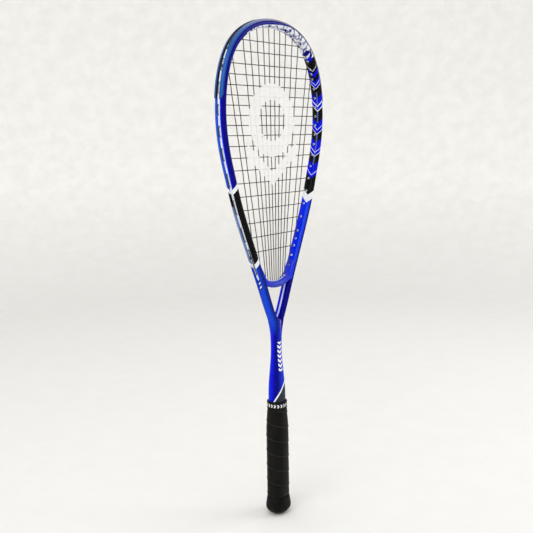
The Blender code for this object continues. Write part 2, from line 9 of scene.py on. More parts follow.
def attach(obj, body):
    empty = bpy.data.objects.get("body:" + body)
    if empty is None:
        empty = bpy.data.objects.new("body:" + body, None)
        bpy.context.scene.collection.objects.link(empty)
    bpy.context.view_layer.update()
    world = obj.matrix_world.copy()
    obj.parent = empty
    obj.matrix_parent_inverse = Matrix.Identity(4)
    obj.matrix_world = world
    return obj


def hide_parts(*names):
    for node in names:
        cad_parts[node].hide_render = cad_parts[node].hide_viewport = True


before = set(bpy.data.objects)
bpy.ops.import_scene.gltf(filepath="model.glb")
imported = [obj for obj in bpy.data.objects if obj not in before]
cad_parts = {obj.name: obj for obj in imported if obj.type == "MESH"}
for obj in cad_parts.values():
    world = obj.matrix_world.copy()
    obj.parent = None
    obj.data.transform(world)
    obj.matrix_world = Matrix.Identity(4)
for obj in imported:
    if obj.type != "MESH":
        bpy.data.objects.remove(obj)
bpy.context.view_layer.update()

MM = 0.001

# ---------------------------------------------------------------- camera
CAMERA_AZIMUTH = -50.65
CAMERA_ELEVATION = 9.53
CAMERA_ROLL = -0.96
CAMERA_DISTANCE = 1.0554
CAMERA_TARGET = (-0.0190, -0.0005, 0.3616)
CAMERA_LENS = 52.68

# ---------------------------------------------------------------- shape of the racket
HEAD_EDGE = [
    (0.0, 684.7), (26.0, 682.2), (47.0, 676.0), (64.5, 666.8), (80.0, 653.2),
    (91.5, 636.5), (99.5, 617.4), (104.9, 595.0), (107.3, 568.0), (105.8, 540.0),
    (100.6, 512.0), (91.7, 481.0), (79.7, 443.5), (66.1, 410.0), (51.7, 377.5),
    (37.2, 345.0),
]
ARM_EDGES = [
    ((31.2, 331.0), (22.9, 334.4)), ((25.4, 317.0), (17.4, 320.0)),
    ((19.6, 303.5), (12.0, 306.4)), ((15.6, 294.5), (7.6, 296.4)),
    ((13.0, 288.2), (3.8, 289.4)), ((11.4, 283.5), (0.0, 284.5)),
]
TUBE_HALF = 5.0
ARM_HALF = 4.6
GROOVE = 2.6
TUBE_SECTION = [
    (5.0, 3.2), (2.4, 2.8), (2.4, -2.8), (5.0, -3.2), (3.9, -6.0), (1.4, -8.0), (-1.4, -8.0),
    (-3.9, -6.2), (-5.0, -2.6), (-5.0, 2.6), (-3.9, 6.2), (-1.4, 8.0), (1.4, 8.0), (3.9, 6.0),
]
SECTION_CUTS = [0.5, 0.35, 0.35, 0.5, 0.9, 1.1, 1.1, 1.2, 1.3, 1.3, 1.2, 1.1, 1.1, 0.9]
CORNER_STEPS = 3
SHAFT = [
    (283.8, 11.4, 8.0), (278.0, 9.4, 8.4), (270.5, 8.0, 8.1), (262.0, 7.3, 7.7),
    (248.0, 6.9, 7.4), (236.0, 7.1, 7.6), (222.0, 8.0, 8.4), (208.0, 9.3, 9.6),
    (194.0, 10.6, 10.7), (181.0, 11.3, 11.2), (170.0, 11.4, 11.2), (163.3, 11.3, 11.1),
]
SHAFT_POWER = 2.4
CORE = (9.0, 6.0)
CORE_END = 8.0

CROSS_HEIGHTS = [
    655.6, 641.7, 626.0, 612.8, 599.6, 587.0, 574.5, 562.0, 549.5, 536.8,
    523.2, 508.4, 492.5, 475.8, 458.4, 440.8, 422.8, 403.6, 383.5,
]
MAIN_UPPER = (640.0, [5.5, 16.4, 28.5, 42.5, 58.2, 75.0, 95.2])
MAIN_LOWER = (350.0, [2.2, 6.6, 11.0, 16.2, 22.4, 29.8, 36.0])
OUTER_MAIN_FOOT = 393.0
TIE_OFF = 370.5
SHARED_STEP = 7.4
CLOSE_STEP = 4.5
BRIDGE_OUTER_MAIN = 20.3
STRING_RADIUS = 0.6
WEAVE = 0.62
LANE = -1.05

STRIP_HALF = 1.7
STRIP_FLOOR = 2.45
STRIP_TOP = 3.3
BARREL_RADIUS = 1.45
BORE_RADIUS = 0.95
BARREL_PROUD = 1.0
MOUTH_CLEAR = 0.8
BUMPER_LIFT = 0.8
BUMPER_LOW = 588.0
BUMPER_INNER = [(3.1, 6.95), (4.1, 6.1), (5.15, 3.05), (2.7, 2.5)]
BUMPER_OUTER = [(2.95, 7.2), (3.6, 7.65), (4.9, 6.7), (6.2, 3.0), (5.9, 2.45), (3.2, 1.95)]

BRIDGE = [
    ((0.0, 330.6), (0.0, 339.0)), ((8.0, 331.1), (8.4, 339.8)),
    ((15.0, 332.6), (16.2, 341.7)), ((20.4, 334.6), (22.4, 344.8)),
]
BRIDGE_END = (336.2, 351.0)
BRIDGE_HALF_DEPTH = 7.0
SADDLE_WINGS = [(27.4, 338.2, 26.9, 349.4), (32.4, 347.0, 31.0, 357.0), (38.5, 360.0, 35.8, 365.0)]

PALLET = [(5.6, 13.7, 12.3), (128.0, 13.7, 12.3), (158.0, 11.2, 11.0), (162.9, 11.2, 11.0)]
BUTT_PROFILE = [
    (0.0, 3.0, 2.6), (0.2, 6.5, 5.7), (0.8, 9.3, 8.2), (1.9, 11.8, 10.5), (3.4, 14.0, 12.6),
    (5.2, 15.8, 14.2), (7.2, 17.1, 15.5), (9.4, 17.8, 16.2), (12.5, 17.9, 16.3),
    (15.5, 17.5, 15.9), (20.0, 16.8, 15.3), (23.6, 16.2, 14.8), (25.5, 15.95, 14.55),
    (25.8, 15.8, 14.4), (25.8, 14.0, 12.6),
    (5.3, 14.0, 12.6),
]
GRIP_LOW = 26.1
GRIP_HIGH = 157.0
GRIP_PITCH = 21.8
SEAT = 0.6
TAPE_BAND = (158.2, 165.4)

BODY = "racket"
COLLAR_BODY = "collar"


# ---------------------------------------------------------------- meshes
def add_mesh(name, verts, faces, attributes=None, sharp=32.0, weld=0.0):
    """Object from millimetre points; attributes holds one number per point."""
    mesh = bpy.data.meshes.new(name)
    mesh.from_pydata([tuple(c * MM for c in v) for v in verts], [], faces)
    for key, values in (attributes or {}).items():
        layer = mesh.attributes.new(key, "FLOAT", "POINT")
        layer.data.foreach_set("value", values)
    bm = bmesh.new()
    bm.from_mesh(mesh)
    if weld:
        bmesh.ops.remove_doubles(bm, verts=bm.verts, dist=weld * MM)
    bmesh.ops.recalc_face_normals(bm, faces=bm.faces)
    bm.to_mesh(mesh)
    bm.free()
    mesh.shade_smooth()
    mesh.set_sharp_from_angle(angle=math.radians(sharp))
    obj = bpy.data.objects.new(name, mesh)
    bpy.context.collection.objects.link(obj)
    return obj


def loft(rings, ring_closed=True, caps=True, base=0, path_closed=False):
    """Quads between successive rings of equal size, with end caps."""
    verts = [v for ring in rings for v in ring]
    count = len(rings[0])
    faces = []
    spans = len(rings) if path_closed else len(rings) - 1
    for i in range(spans):
        for k in range(count if ring_closed else count - 1):
            j = (k + 1) % count
            a = base + i * count
            b = base + ((i + 1) % len(rings)) * count
            faces.append((a + k, a + j, b + j, b + k))
    if caps and not path_closed:
        last = base + (len(rings) - 1) * count
        faces.append(tuple(base + k for k in range(count)))
        faces.append(tuple(last + k for k in range(count)))
    return verts, faces


def catmull(points, steps):
    """Smooth curve through points of any dimension, ends included."""
    dims = range(len(points[0]))
    first = tuple(2 * points[0][k] - points[1][k] for k in dims)
    last = tuple(2 * points[-1][k] - points[-2][k] for k in dims)
    return curve_between([first] + list(points) + [last], steps)


def curve_between(pts, steps):
    dims = range(len(pts[0]))
    out = []
    for i in range(1, len(pts) - 2):
        p0, p1, p2, p3 = pts[i - 1:i + 3]
        for step in range(steps):
            t = step / steps
            out.append(tuple(
                0.5 * (2 * p1[k] + (p2[k] - p0[k]) * t
                       + (2 * p0[k] - 5 * p1[k] + 4 * p2[k] - p3[k]) * t * t
                       + (3 * p1[k] - p0[k] - 3 * p2[k] + p3[k]) * t ** 3)
                for k in dims))
    out.append(tuple(pts[-2]))
    return out


def head_curve():
    first = (-HEAD_EDGE[1][0], HEAD_EDGE[1][1])
    last = tuple(2 * HEAD_EDGE[-1][k] - HEAD_EDGE[-2][k] for k in (0, 1))
    return curve_between([first] + HEAD_EDGE + [last], 24)


RIM = head_curve()
RIM_LENGTH = [0.0]
for _a, _b in zip(RIM, RIM[1:]):
    RIM_LENGTH.append(RIM_LENGTH[-1] + math.dist(_a, _b))


def rim(s):
    """Outer edge point and outward normal at distance s from the head's top."""
    side = -1.0 if s < 0 else 1.0
    d = min(abs(s), RIM_LENGTH[-1])
    i = 0
    while i < len(RIM) - 2 and RIM_LENGTH[i + 1] < d:
        i += 1
    t = (d - RIM_LENGTH[i]) / (RIM_LENGTH[i + 1] - RIM_LENGTH[i])
    x = RIM[i][0] + t * (RIM[i + 1][0] - RIM[i][0])
    z = RIM[i][1] + t * (RIM[i + 1][1] - RIM[i][1])

    def chord(k):
        before, after = RIM[max(k - 2, 0)], RIM[min(k + 3, len(RIM) - 1)]
        dx, dz = after[0] - before[0], after[1] - before[1]
        if k < 2:
            dx, dz = after[0] + before[0], (after[1] - before[1]) * 0.2 * k
        size = math.hypot(dx, dz)
        return dx / size, dz / size

    c0, c1 = chord(i), chord(min(i + 1, len(RIM) - 2))
    tx, tz = c0[0] + t * (c1[0] - c0[0]), c0[1] + t * (c1[1] - c0[1])
    if d < 0.5:
        tx, tz = 1.0, 0.0
    size = math.hypot(tx, tz)
    return side * x, z, side * -tz / size, tx / size


def tube_half(z):
    return TUBE_HALF + (ARM_HALF - TUBE_HALF) * min(max((430.0 - z) / 85.0, 0.0), 1.0)


def rim_point(s, outward, y):
    x, z, nx, nz = rim(s)
    shift = outward - tube_half(z)
    return Vector((x + shift * nx, y, z + shift * nz))


def solve(low, high, value):
    """Bisection for value(s) = 0 with value(low) > 0 > value(high)."""
    for _ in range(50):
        middle = 0.5 * (low + high)
        if value(middle) > 0:
            low = middle
        else:
            high = middle
    return 0.5 * (low + high)


def tip(s):
    return rim_point(s, -(TUBE_HALF + BARREL_PROUD), 0.0)


def rim_at_height(height):
    return solve(0.0, RIM_LENGTH[-1], lambda s: tip(s).z - height)


def middle_at_height(height):
    """Rim distance where the tube's centre line is at a height."""
    return solve(0.0, RIM_LENGTH[-1], lambda s: rim_point(s, 0.0, 0.0).z - height)


def main_x(index, z):
    z1, upper = MAIN_UPPER
    z0, lower = MAIN_LOWER
    return lower[index] + (upper[index] - lower[index]) * (z - z0) / (z1 - z0)


def rim_at_main(index):
    return solve(0.0, 260.0, lambda s: main_x(index, tip(s).z) - tip(s).x)


def rim_at_main_foot(index):
    low = rim_at_height(420.0)
    return solve(low, RIM_LENGTH[-1], lambda s: tip(s).x - main_x(index, tip(s).z))


def smooth(t):
    t = min(max(t, 0.0), 1.0)
    return t * t * (3.0 - 2.0 * t)


def rounded(points, cuts, steps):
    """Closed outline with each corner turned into a small curve."""
    out = []
    count = len(points)
    for i, p in enumerate(points):
        a, b = points[i - 1], points[(i + 1) % count]
        ka = min(cuts[i] / math.dist(p, a), 0.45)
        kb = min(cuts[i] / math.dist(p, b), 0.45)
        start = tuple(p[k] + ka * (a[k] - p[k]) for k in (0, 1))
        end = tuple(p[k] + kb * (b[k] - p[k]) for k in (0, 1))
        for step in range(steps + 1):
            t = step / steps
            out.append(tuple(
                (1 - t) ** 2 * start[k] + 2 * t * (1 - t) * p[k] + t * t * end[k]
                for k in (0, 1)))
    return out


def tube_outline(groove):
    points = [(TUBE_HALF - GROOVE * groove, y) if k in (1, 2) else (n, y)
              for k, (n, y) in enumerate(TUBE_SECTION)]
    return rounded(points, SECTION_CUTS, CORNER_STEPS)


PER_CORNER = CORNER_STEPS + 1
OUTLINE_SIZE = PER_CORNER * len(TUBE_SECTION)


def outline_girths():
    """Distance round the section from the front lip of the groove."""
    outline = tube_outline(1.0)
    first = 3 * PER_CORNER + 1
    values = [0.0] * len(outline)
    total = 0.0
    for step in range(1, len(outline) - 2 * PER_CORNER):
        k = (first + step) % len(outline)
        total += math.dist(outline[k], outline[k - 1])
        values[k] = total
    for k in range(PER_CORNER, 2 * PER_CORNER):
        values[k] = total + 1.0
    for k in range(2 * PER_CORNER, 3 * PER_CORNER):
        values[k] = -1.0
    return values, total


GIRTHS, GIRTH = outline_girths()
WALLS = [float(PER_CORNER <= k < 3 * PER_CORNER) for k in range(OUTLINE_SIZE)]


def tube_ring(outer, inner, groove):
    """Section between an outer and an inner edge point of the right side."""
    half = 0.5 * math.dist(outer, inner)
    cx, cz = 0.5 * (outer[0] + inner[0]), 0.5 * (outer[1] + inner[1])
    nx, nz = (outer[0] - inner[0]) / (2 * half), (outer[1] - inner[1]) / (2 * half)
    return [Vector((cx + n * half / TUBE_HALF * nx, y, cz + n * half / TUBE_HALF * nz))
            for n, y in tube_outline(groove)]


def flip(ring):
    return [Vector((-v.x, v.y, v.z)) for v in ring]


def superellipse(a, b, angle, power):
    c, s = math.cos(angle), math.sin(angle)
    e = 2.0 / power
    return (a * math.copysign(abs(c) ** e, c), b * math.copysign(abs(s) ** e, s))


def oval(z, a, b, sides=72, power=SHAFT_POWER):
    """Ring of evenly spread points round a rounded bar."""
    fine = [superellipse(a, b, 2 * math.pi * k / 720, power) for k in range(721)]
    return [Vector((x, y, z)) for x, y in even(fine, sides + 1)[:-1]]


def even(points, count):
    """Points at equal distances along a line of points."""
    lengths = [0.0]
    for a, b in zip(points, points[1:]):
        lengths.append(lengths[-1] + math.dist(a, b))
    return [at_length(points, lengths, lengths[-1] * k / (count - 1)) for k in range(count)]


def at_length(points, lengths, d):
    low, high = 0, len(lengths) - 2
    while low < high:
        mid = (low + high) // 2
        if lengths[mid + 1] < d:
            low = mid + 1
        else:
            high = mid
    step = lengths[low + 1] - lengths[low]
    t = min(max((d - lengths[low]) / step, 0.0), 1.0) if step else 0.0
    return tuple(points[low][k] + t * (points[low + 1][k] - points[low][k])
                 for k in range(len(points[0])))


def shaft_size(z):
    """Half sizes of the shaft at a height, on a smooth curve."""
    for (z0, *_), (z1, *_) in zip(SHAFT_CURVE, SHAFT_CURVE[1:]):
        if z1 <= z <= z0:
            break
    i = [p[0] for p in SHAFT_CURVE].index(z0)
    p, q = SHAFT_CURVE[i], SHAFT_CURVE[i + 1]
    t = (p[0] - z) / (p[0] - q[0])
    return tuple(p[k] + t * (q[k] - p[k]) for k in (1, 2))


SHAFT_CURVE = catmull(SHAFT, 8)


def build_hoop():
    """Head, arms and shaft in one skin, built on the right and mirrored."""
    rings, along, grooves = [], [], []
    count = 176
    for k in range(count + 1):
        s = RIM_LENGTH[-1] * k / count
        x, z, nx, nz = rim(s)
        half = tube_half(z)
        rings.append(tube_ring((x, z), (x - 2 * half * nx, z - 2 * half * nz), 1.0))
        along.append(s)
    x, z, nx, nz = rim(RIM_LENGTH[-1] - 15.0)
    before = (x, z, x - 2 * ARM_HALF * nx, z - 2 * ARM_HALF * nz)
    x, z, nx, nz = rim(RIM_LENGTH[-1])
    knots = [before, (x, z, x - 2 * ARM_HALF * nx, z - 2 * ARM_HALF * nz)]
    knots += [(*outer, *inner) for outer, inner in ARM_EDGES]
    knots.append((11.2, 278.0, 0.0, 281.0))
    arms = curve_between(knots, 6)
    depth = [1.0, 0.55, 0.0, 0.0, 0.0, 0.0, 0.0]
    for i, (ox, oz, ix, iz) in enumerate(arms[1:], 1):
        k, t = divmod(i, 6)
        groove = depth[k] + (t / 6.0) * (depth[min(k + 1, 6)] - depth[k])
        rings.append(tube_ring((ox, oz), (max(ix, 0.0), iz), max(groove, 0.0)))
        along.append(along[-1] + math.dist((ox, oz), arms[i - 1][:2]))
    first = 7 * PER_CORNER
    last = 11 * PER_CORNER - 1
    for k in range(first, last + 1):
        rings[-1][k].x = 0.0
        rings[-1][k].z = ARM_EDGES[-1][1][1]
    reach = 14
    for back in range(1, reach):
        ring = rings[-1 - back]
        pull = smooth(1.0 - back / reach) ** 2
        for k in (first - 2, first - 1, first, first + 1, last - 1, last, last + 1, last + 2):
            ring[k % OUTLINE_SIZE].x *= 1.0 - 0.35 * pull
    outline = [k % OUTLINE_SIZE for k in range(first, last - OUTLINE_SIZE - 1, -1)]
    crotch = [rings[-1][k].copy() for k in outline]
    wide = max(v.x for v in crotch)
    lengths = [0.0]
    for a, b in zip(crotch, crotch[1:]):
        lengths.append(lengths[-1] + (b - a).length)
    parts = [v / lengths[-1] for v in lengths]
    verts, faces = loft(rings, caps=False)
    girth = [g for _ in rings for g in GIRTHS]
    walls = WALLS * len(rings)
    run = [s for s in along for _ in range(OUTLINE_SIZE)]
    start = (len(rings) - 1) * OUTLINE_SIZE
    heights = [283.8 - 0.9 * k for k in range(1, 26)]
    heights += [261.3 - 2.5 * k for k in range(1, 40)] + [163.3]
    previous = [start + k for k in outline]
    for z in heights:
        a, b = shaft_size(z)
        weight = smooth((283.8 - z) / 24.0)
        fine = [superellipse(a, b, math.pi * (k / 240.0 - 0.5), SHAFT_POWER)
                for k in range(241)]
        sizes = [0.0]
        for p, q in zip(fine, fine[1:]):
            sizes.append(sizes[-1] + math.dist(p, q))
        row = []
        for k, (v, part) in enumerate(zip(crotch, parts)):
            x, y = at_length(fine, sizes, part * sizes[-1])
            px, py = v.x * a / wide, v.y * b / 8.0
            drop = (v.z - 283.8) * (1.0 - smooth((283.8 - z) / 8.0))
            row.append(len(verts))
            verts.append(Vector((px + weight * (x - px), py + weight * (y - py), z + drop)))
            girth.append(GIRTHS[outline[k]])
            walls.append(WALLS[outline[k]])
            run.append(along[-1] + 283.8 - z)
        for k in range(len(row) - 1):
            faces.append((previous[k], previous[k + 1], row[k + 1], row[k]))
        previous = row
    for z in (163.3, CORE_END):
        row = []
        for k, part in enumerate(parts):
            x, y = superellipse(CORE[0], CORE[1], math.pi * (part - 0.5), 3.0)
            row.append(len(verts))
            verts.append(Vector((x, y, z)))
            girth.append(0.0)
            walls.append(0.0)
            run.append(along[-1] + 283.8 - z)
        for k in range(len(row) - 1):
            faces.append((previous[k], previous[k + 1], row[k + 1], row[k]))
        previous = row
    faces.append(tuple(previous))
    half = len(verts)
    verts += [Vector((-v.x, v.y, v.z)) for v in verts]
    faces += [tuple(half + i for i in reversed(face)) for face in faces]
    for v in verts:
        if abs(v.x) < 0.004:
            v.x = 0.0
    attributes = {"girth": girth * 2, "wall": walls * 2, "along": run + [-s for s in run]}
    return add_mesh("hoop_and_shaft", verts, faces, attributes, 34.0, weld=0.002)


def mirrored(stops):
    return [-s for s in reversed(stops[1:])] + stops


def strip_offset(s):
    z = rim(s)[1]
    return BUMPER_LIFT * min(max((z - BUMPER_LOW + 16.0) / 14.0, 0.0), 1.0)


def bumper_outline():
    half = [(n, -y) for n, y in BUMPER_INNER] + [(n, y) for n, y in reversed(BUMPER_INNER)]
    skin = [(n, y) for n, y in BUMPER_OUTER] + [(n, -y) for n, y in reversed(BUMPER_OUTER)]
    return rounded(half + skin, [0.3] * (len(half) + len(skin)), 2)


def build_bumper(end):
    """Guard over the head, with ends that are cut at a slant."""
    outline = bumper_outline()
    rings = []
    count = 150
    for k in range(count + 1):
        share = 2.0 * k / count - 1.0
        ring = []
        for n, y in outline:
            slant = 7.0 * (n - 3.0) / 3.0 * abs(share) ** 8
            s = share * (end + slant)
            ring.append(rim_point(s, n, y))
        rings.append(ring)
    verts, faces = loft(rings, caps=False)
    size = len(outline)
    half = 2 * len(BUMPER_INNER) * 3
    for base in (0, count * size):
        walls = list(range(size))
        skin = walls[half:]
        inner = walls[:half]
        pairs = max(len(skin), len(inner))
        for k in range(pairs - 1):
            i0 = inner[min(k * (len(inner) - 1) // (pairs - 1), len(inner) - 1)]
            i1 = inner[min((k + 1) * (len(inner) - 1) // (pairs - 1), len(inner) - 1)]
            o0 = skin[len(skin) - 1 - k * (len(skin) - 1) // (pairs - 1)]
            o1 = skin[len(skin) - 1 - (k + 1) * (len(skin) - 1) // (pairs - 1)]
            corner = []
            for v in (i0, i1, o1, o0):
                if base + v not in corner:
                    corner.append(base + v)
            if len(corner) > 2:
                faces.append(tuple(corner))
    return add_mesh("bumper_skin", verts, faces, None, 40.0)


def ring_tube(centre, axis, profile, sides=14):
    """Closed sleeve about an axis; profile is (distance along, radius)."""
    u = axis.cross(Vector((0.0, 1.0, 0.0))).normalized()
    v = axis.cross(u)
    rings = []
    for d, r in profile:
        rings.append([centre + d * axis + r * (math.cos(2 * math.pi * k / sides) * u
                                               + math.sin(2 * math.pi * k / sides) * v)
                      for k in range(sides)])
    return rings


def barrel(verts, faces, inside, outside):
    """Grommet barrel with a rounded mouth and a bore, added to a mesh's lists."""
    axis = (outside - inside).normalized()
    run = (outside - inside).length
    outer, bore = BARREL_RADIUS, BORE_RADIUS
    profile = [(0.0, bore), (0.0, outer - 0.25), (0.08, outer - 0.07), (0.3, outer),
               (run - 0.1, outer), (run - 0.1, outer + 0.35), (run + 0.08, outer + 0.3),
               (run + 0.14, outer - 0.1), (run, bore)]
    rings = ring_tube(inside, axis, profile)
    more, quads = loft(rings, caps=False, base=len(verts), path_closed=True)
    verts += more
    faces += quads


def build_strip(name, low, high, holes):
    """Strip that lies in the groove, with its barrels."""
    count = max(8, int((high - low) / 3.0))
    rings = []
    shape = rounded([(STRIP_FLOOR, -STRIP_HALF), (STRIP_TOP, -STRIP_HALF),
                     (STRIP_TOP, STRIP_HALF), (STRIP_FLOOR, STRIP_HALF)],
                    [0.1, 0.28, 0.28, 0.1], 2)
    for k in range(count + 1):
        s = low + (high - low) * k / count
        lift = strip_offset(s)
        rings.append([rim_point(s, n + lift, y) for n, y in shape])
    verts, faces = loft(rings)
    for s in holes:
        barrel(verts, faces, tip(s), rim_point(s, STRIP_TOP + strip_offset(s), 0.0))
    return add_mesh(name, verts, faces, None, 40.0)


def arm_inner(z):
    x, oz, nx, nz = rim(RIM_LENGTH[-1])
    upper = (x - 2 * ARM_HALF * nx, oz - 2 * ARM_HALF * nz)
    lower = ARM_EDGES[0][1]
    t = (z - lower[1]) / (upper[1] - lower[1])
    return lower[0] + t * (upper[0] - lower[0])


def bridge_knots():
    return BRIDGE + [((arm_inner(BRIDGE_END[0]) + 0.25, BRIDGE_END[0]),
                      (arm_inner(BRIDGE_END[1]) + 0.25, BRIDGE_END[1]))]


def bridge_curve(steps=10):
    right = [(lo[0], lo[1], hi[0], hi[1]) for lo, hi in bridge_knots()]
    second = right[1]
    phantom = (-second[0], second[1], -second[2], second[3])
    last = tuple(2 * right[-1][k] - right[-2][k] for k in range(4))
    return curve_between([phantom] + right + [last], steps)


def bridge_sides(x, top):
    """Height of the bridge's lower or upper edge at a distance from the middle."""
    k = 2 if top else 0
    line = bridge_curve()
    for p, q in zip(line, line[1:]):
        if p[k] <= x <= q[k]:
            return p[k + 1] + (x - p[k]) / (q[k] - p[k]) * (q[k + 1] - p[k + 1])
    return line[-1][k + 1]


def saddle_curve():
    """The bridge's curve, carried on into the arms so that it flows into them."""
    line = [(lo[0], lo[1], hi[0], hi[1]) for lo, hi in BRIDGE]
    second = line[1]
    phantom = (-second[0], second[1], -second[2], second[3])
    return curve_between([phantom] + line + SADDLE_WINGS + [SADDLE_WINGS[-1]], 8)


def both_sides(half):
    return [(-p[0], p[1], -p[2], p[3]) for p in reversed(half[1:])] + half


def build_bridge():
    """Rounded saddle between the arms, with a groove along its lower side."""
    rings = []
    for lx, lz, hx, hz in both_sides(saddle_curve()):
        lo, hi = Vector((lx, 0.0, lz)), Vector((hx, 0.0, hz))
        up = (hi - lo).normalized()
        tall = (hi - lo).length
        d = BRIDGE_HALF_DEPTH
        half = [(tall, 3.6), (tall - 2.4, d), (2.4, d), (0.0, 4.6), (0.0, 2.7), (1.9, 2.3)]
        section = half + [(h, -y) for h, y in reversed(half)]
        cuts = [1.6, 1.4, 1.2, 0.6, 0.3, 0.3]
        shape = rounded(section, cuts + cuts[::-1], 3)
        rings.append([lo + h * up + Vector((0.0, y, 0.0)) for h, y in shape])
    verts, faces = loft(rings)
    return add_mesh("throat_saddle", verts, faces, None, 34.0)


def throat_barrel(x):
    return (Vector((x, 0.0, bridge_sides(abs(x), True) + BARREL_PROUD)),
            Vector((x, 0.0, bridge_sides(abs(x), False) + 0.95)))


def build_throat_strip(feet):
    line = both_sides(bridge_curve())[4:-4]
    rings = []
    for lx, lz, hx, hz in line:
        lo, hi = Vector((lx, 0.0, lz)), Vector((hx, 0.0, hz))
        up = (hi - lo).normalized()
        rings.append([lo + h * up + Vector((0.0, y, 0.0)) for h, y in (
            (1.8, -STRIP_HALF), (1.0, -STRIP_HALF), (0.85, -STRIP_HALF + 0.2),
            (0.85, STRIP_HALF - 0.2), (1.0, STRIP_HALF), (1.8, STRIP_HALF))])
    verts, faces = loft(rings)
    for x in feet:
        barrel(verts, faces, *throat_barrel(x))
    return add_mesh("grommets_throat", verts, faces, None, 40.0)


# ---------------------------------------------------------------- strings
def sweep(path, radius, sides):
    """Tube along a path of points, mitred at the bends."""
    rings = []
    u = None
    for i, point in enumerate(path):
        before = (point - path[i - 1]).normalized() if i else None
        after = (path[i + 1] - point).normalized() if i < len(path) - 1 else None
        tangent = ((before or after) + (after or before)).normalized()
        if u is None:
            u = tangent.orthogonal().normalized()
        step = before or after
        u = (u - u.dot(step) * step).normalized()
        v = step.cross(u)
        ring = []
        for k in range(sides):
            a = 2 * math.pi * k / sides
            offset = radius * (math.cos(a) * u + math.sin(a) * v)
            ring.append(point + offset - step * (offset.dot(tangent) / step.dot(tangent)))
        rings.append(ring)
    return rings


def rim_bend(s):
    return rim_point(s, -(TUBE_HALF + BARREL_PROUD + MOUTH_CLEAR), 0.0)


def rim_exit(s, toward, lane):
    """String path out of a barrel and round into its lane of the groove."""
    top = STRIP_TOP + strip_offset(s)
    run = 1.0 if toward > s else -1.0
    return [rim_bend(s), rim_point(s, top - 0.3, 0.0),
            rim_point(s + 0.15 * run, top + 0.35, 0.12 * lane),
            rim_point(s + 0.6 * run, top + 0.75, 0.45 * lane),
            rim_point(s + 1.4 * run, top + 0.9, 0.8 * lane),
            rim_point(s + 2.6 * run, top + 0.9, lane)]


def rim_loop(s0, s1, lane):
    """String from one barrel to the next along the outside of the head."""
    way = rim_exit(s0, s1, lane)
    back = rim_exit(s1, s0, lane)
    span = s1 - s0
    count = max(1, int(abs(span) / 4.0) - 1)
    for k in range(1, count + 1):
        s = s0 + span * (k + 0.3) / (count + 1.6)
        way.append(rim_point(s, STRIP_TOP + strip_offset(s) + 0.9, lane))
    return way + back[::-1]


def throat_loop(x0, x1):
    run = 1.0 if x1 > x0 else -1.0
    way = []
    for x, turn in ((x0, run), (x1, -run)):
        inside, outside = throat_barrel(x)
        bottom = [Vector((x + dx * turn, 0.0, bridge_sides(abs(x + dx * turn), False) + h))
                  for dx, h in ((0.1, 0.55), (0.45, 0.25), (1.1, 0.1))]
        way.append([inside, outside + Vector((0, 0, 0.1))] + bottom)
    return way[0] + way[1][::-1]


def build_string(name, path):
    """One continuous string with a small knot at both ends."""
    clean = [path[0]]
    for p in path[1:]:
        if (p - clean[-1]).length > 0.12:
            clean.append(p)
    rings = sweep(clean, STRING_RADIUS, 8)
    for end, other in ((0, 1), (-1, -2)):
        direction = (clean[end] - clean[other]).normalized()
        base = rings[end]
        added = []
        for d, k in ((0.1, 1.35), (0.5, 1.6), (1.1, 1.65), (1.7, 1.4), (2.0, 0.7)):
            centre = clean[end] + direction * d
            added.append([centre + (v - clean[end]) * k for v in base])
        rings = added[::-1] + rings if end == 0 else rings + added
    verts, faces = loft(rings)
    return add_mesh(name, verts, faces, None, 60.0)


def woven_main(top, foot, number):
    """Points of a main between its two bends, passing the crosses alternately."""
    points = []
    lean = (top.x - foot.x) / (top.z - foot.z)
    rows = [(z, k) for k, z in enumerate(CROSS_HEIGHTS) if foot.z + 0.5 < z < top.z - 0.5]
    for index, (z, k) in enumerate(rows):
        points.append(Vector((foot.x + lean * (z - foot.z), -0.35 * WEAVE * (-1) ** (number + k),
                              z)))
        if index < len(rows) - 1:
            middle = 0.5 * (z + rows[index + 1][0])
            points.append(Vector((foot.x + lean * (middle - foot.z), 0.0, middle)))
    return points


def build_mains(tops, feet):
    """Starts and ends at the outermost mains' upper ends, crossing at the throat."""
    half = []
    for index in range(7):
        top = rim_bend(tops[index])
        foot = throat_barrel(feet[index])[0] if index < 5 else rim_bend(feet[index])
        rows = woven_main(top, foot, 7 + index)
        if index % 2 == 0:
            half += rows[::-1]
            if index < 6:
                half += rim_loop(tops[index], tops[index + 1], LANE)
            else:
                half += rim_exit(tops[index], tops[index] + 9.0, LANE)
        else:
            half += rows
            if index < 5:
                half += throat_loop(feet[index], feet[index + 1])
            else:
                half += rim_loop(feet[index], feet[index + 1], LANE)
    mirror = []
    for p in half:
        inside = abs(p.y) <= WEAVE and 352.0 < p.z and abs(p.y) < 0.5
        mirror.append(Vector((-p.x, -p.y if inside else p.y, p.z)))
    return build_string("strings_main", mirror[::-1] + throat_loop(-feet[0], feet[0]) + half)


def mains_at(z, tops, feet):
    """Where the mains stand at a height, from left to right, with their numbers."""
    found = []
    for j in range(7):
        top = rim_bend(tops[j])
        foot = throat_barrel(feet[j])[0] if j < 5 else rim_bend(feet[j])
        if foot.z + 0.5 < z < top.z - 0.5:
            x = foot.x + (top.x - foot.x) * (z - foot.z) / (top.z - foot.z)
            found += [(x, 7 + j), (-x, 6 - j)]
    return sorted(found)


def woven_row(z, k, mains):
    """Points of a cross from left to right, over and under the mains."""
    row = []
    level = WEAVE * 1.45
    for index, (x, j) in enumerate(mains):
        y = level * (-1) ** (j + k)
        reach = 0.9
        row += [Vector((x - reach, 0.86 * y, z)), Vector((x, y, z)), Vector((x + reach, 0.86 * y, z))]
        if index < len(mains) - 1:
            gap = mains[index + 1][0] - x
            if gap > 4.6:
                row.append(Vector((x + 0.5 * gap, 0.0, z)))
    return row


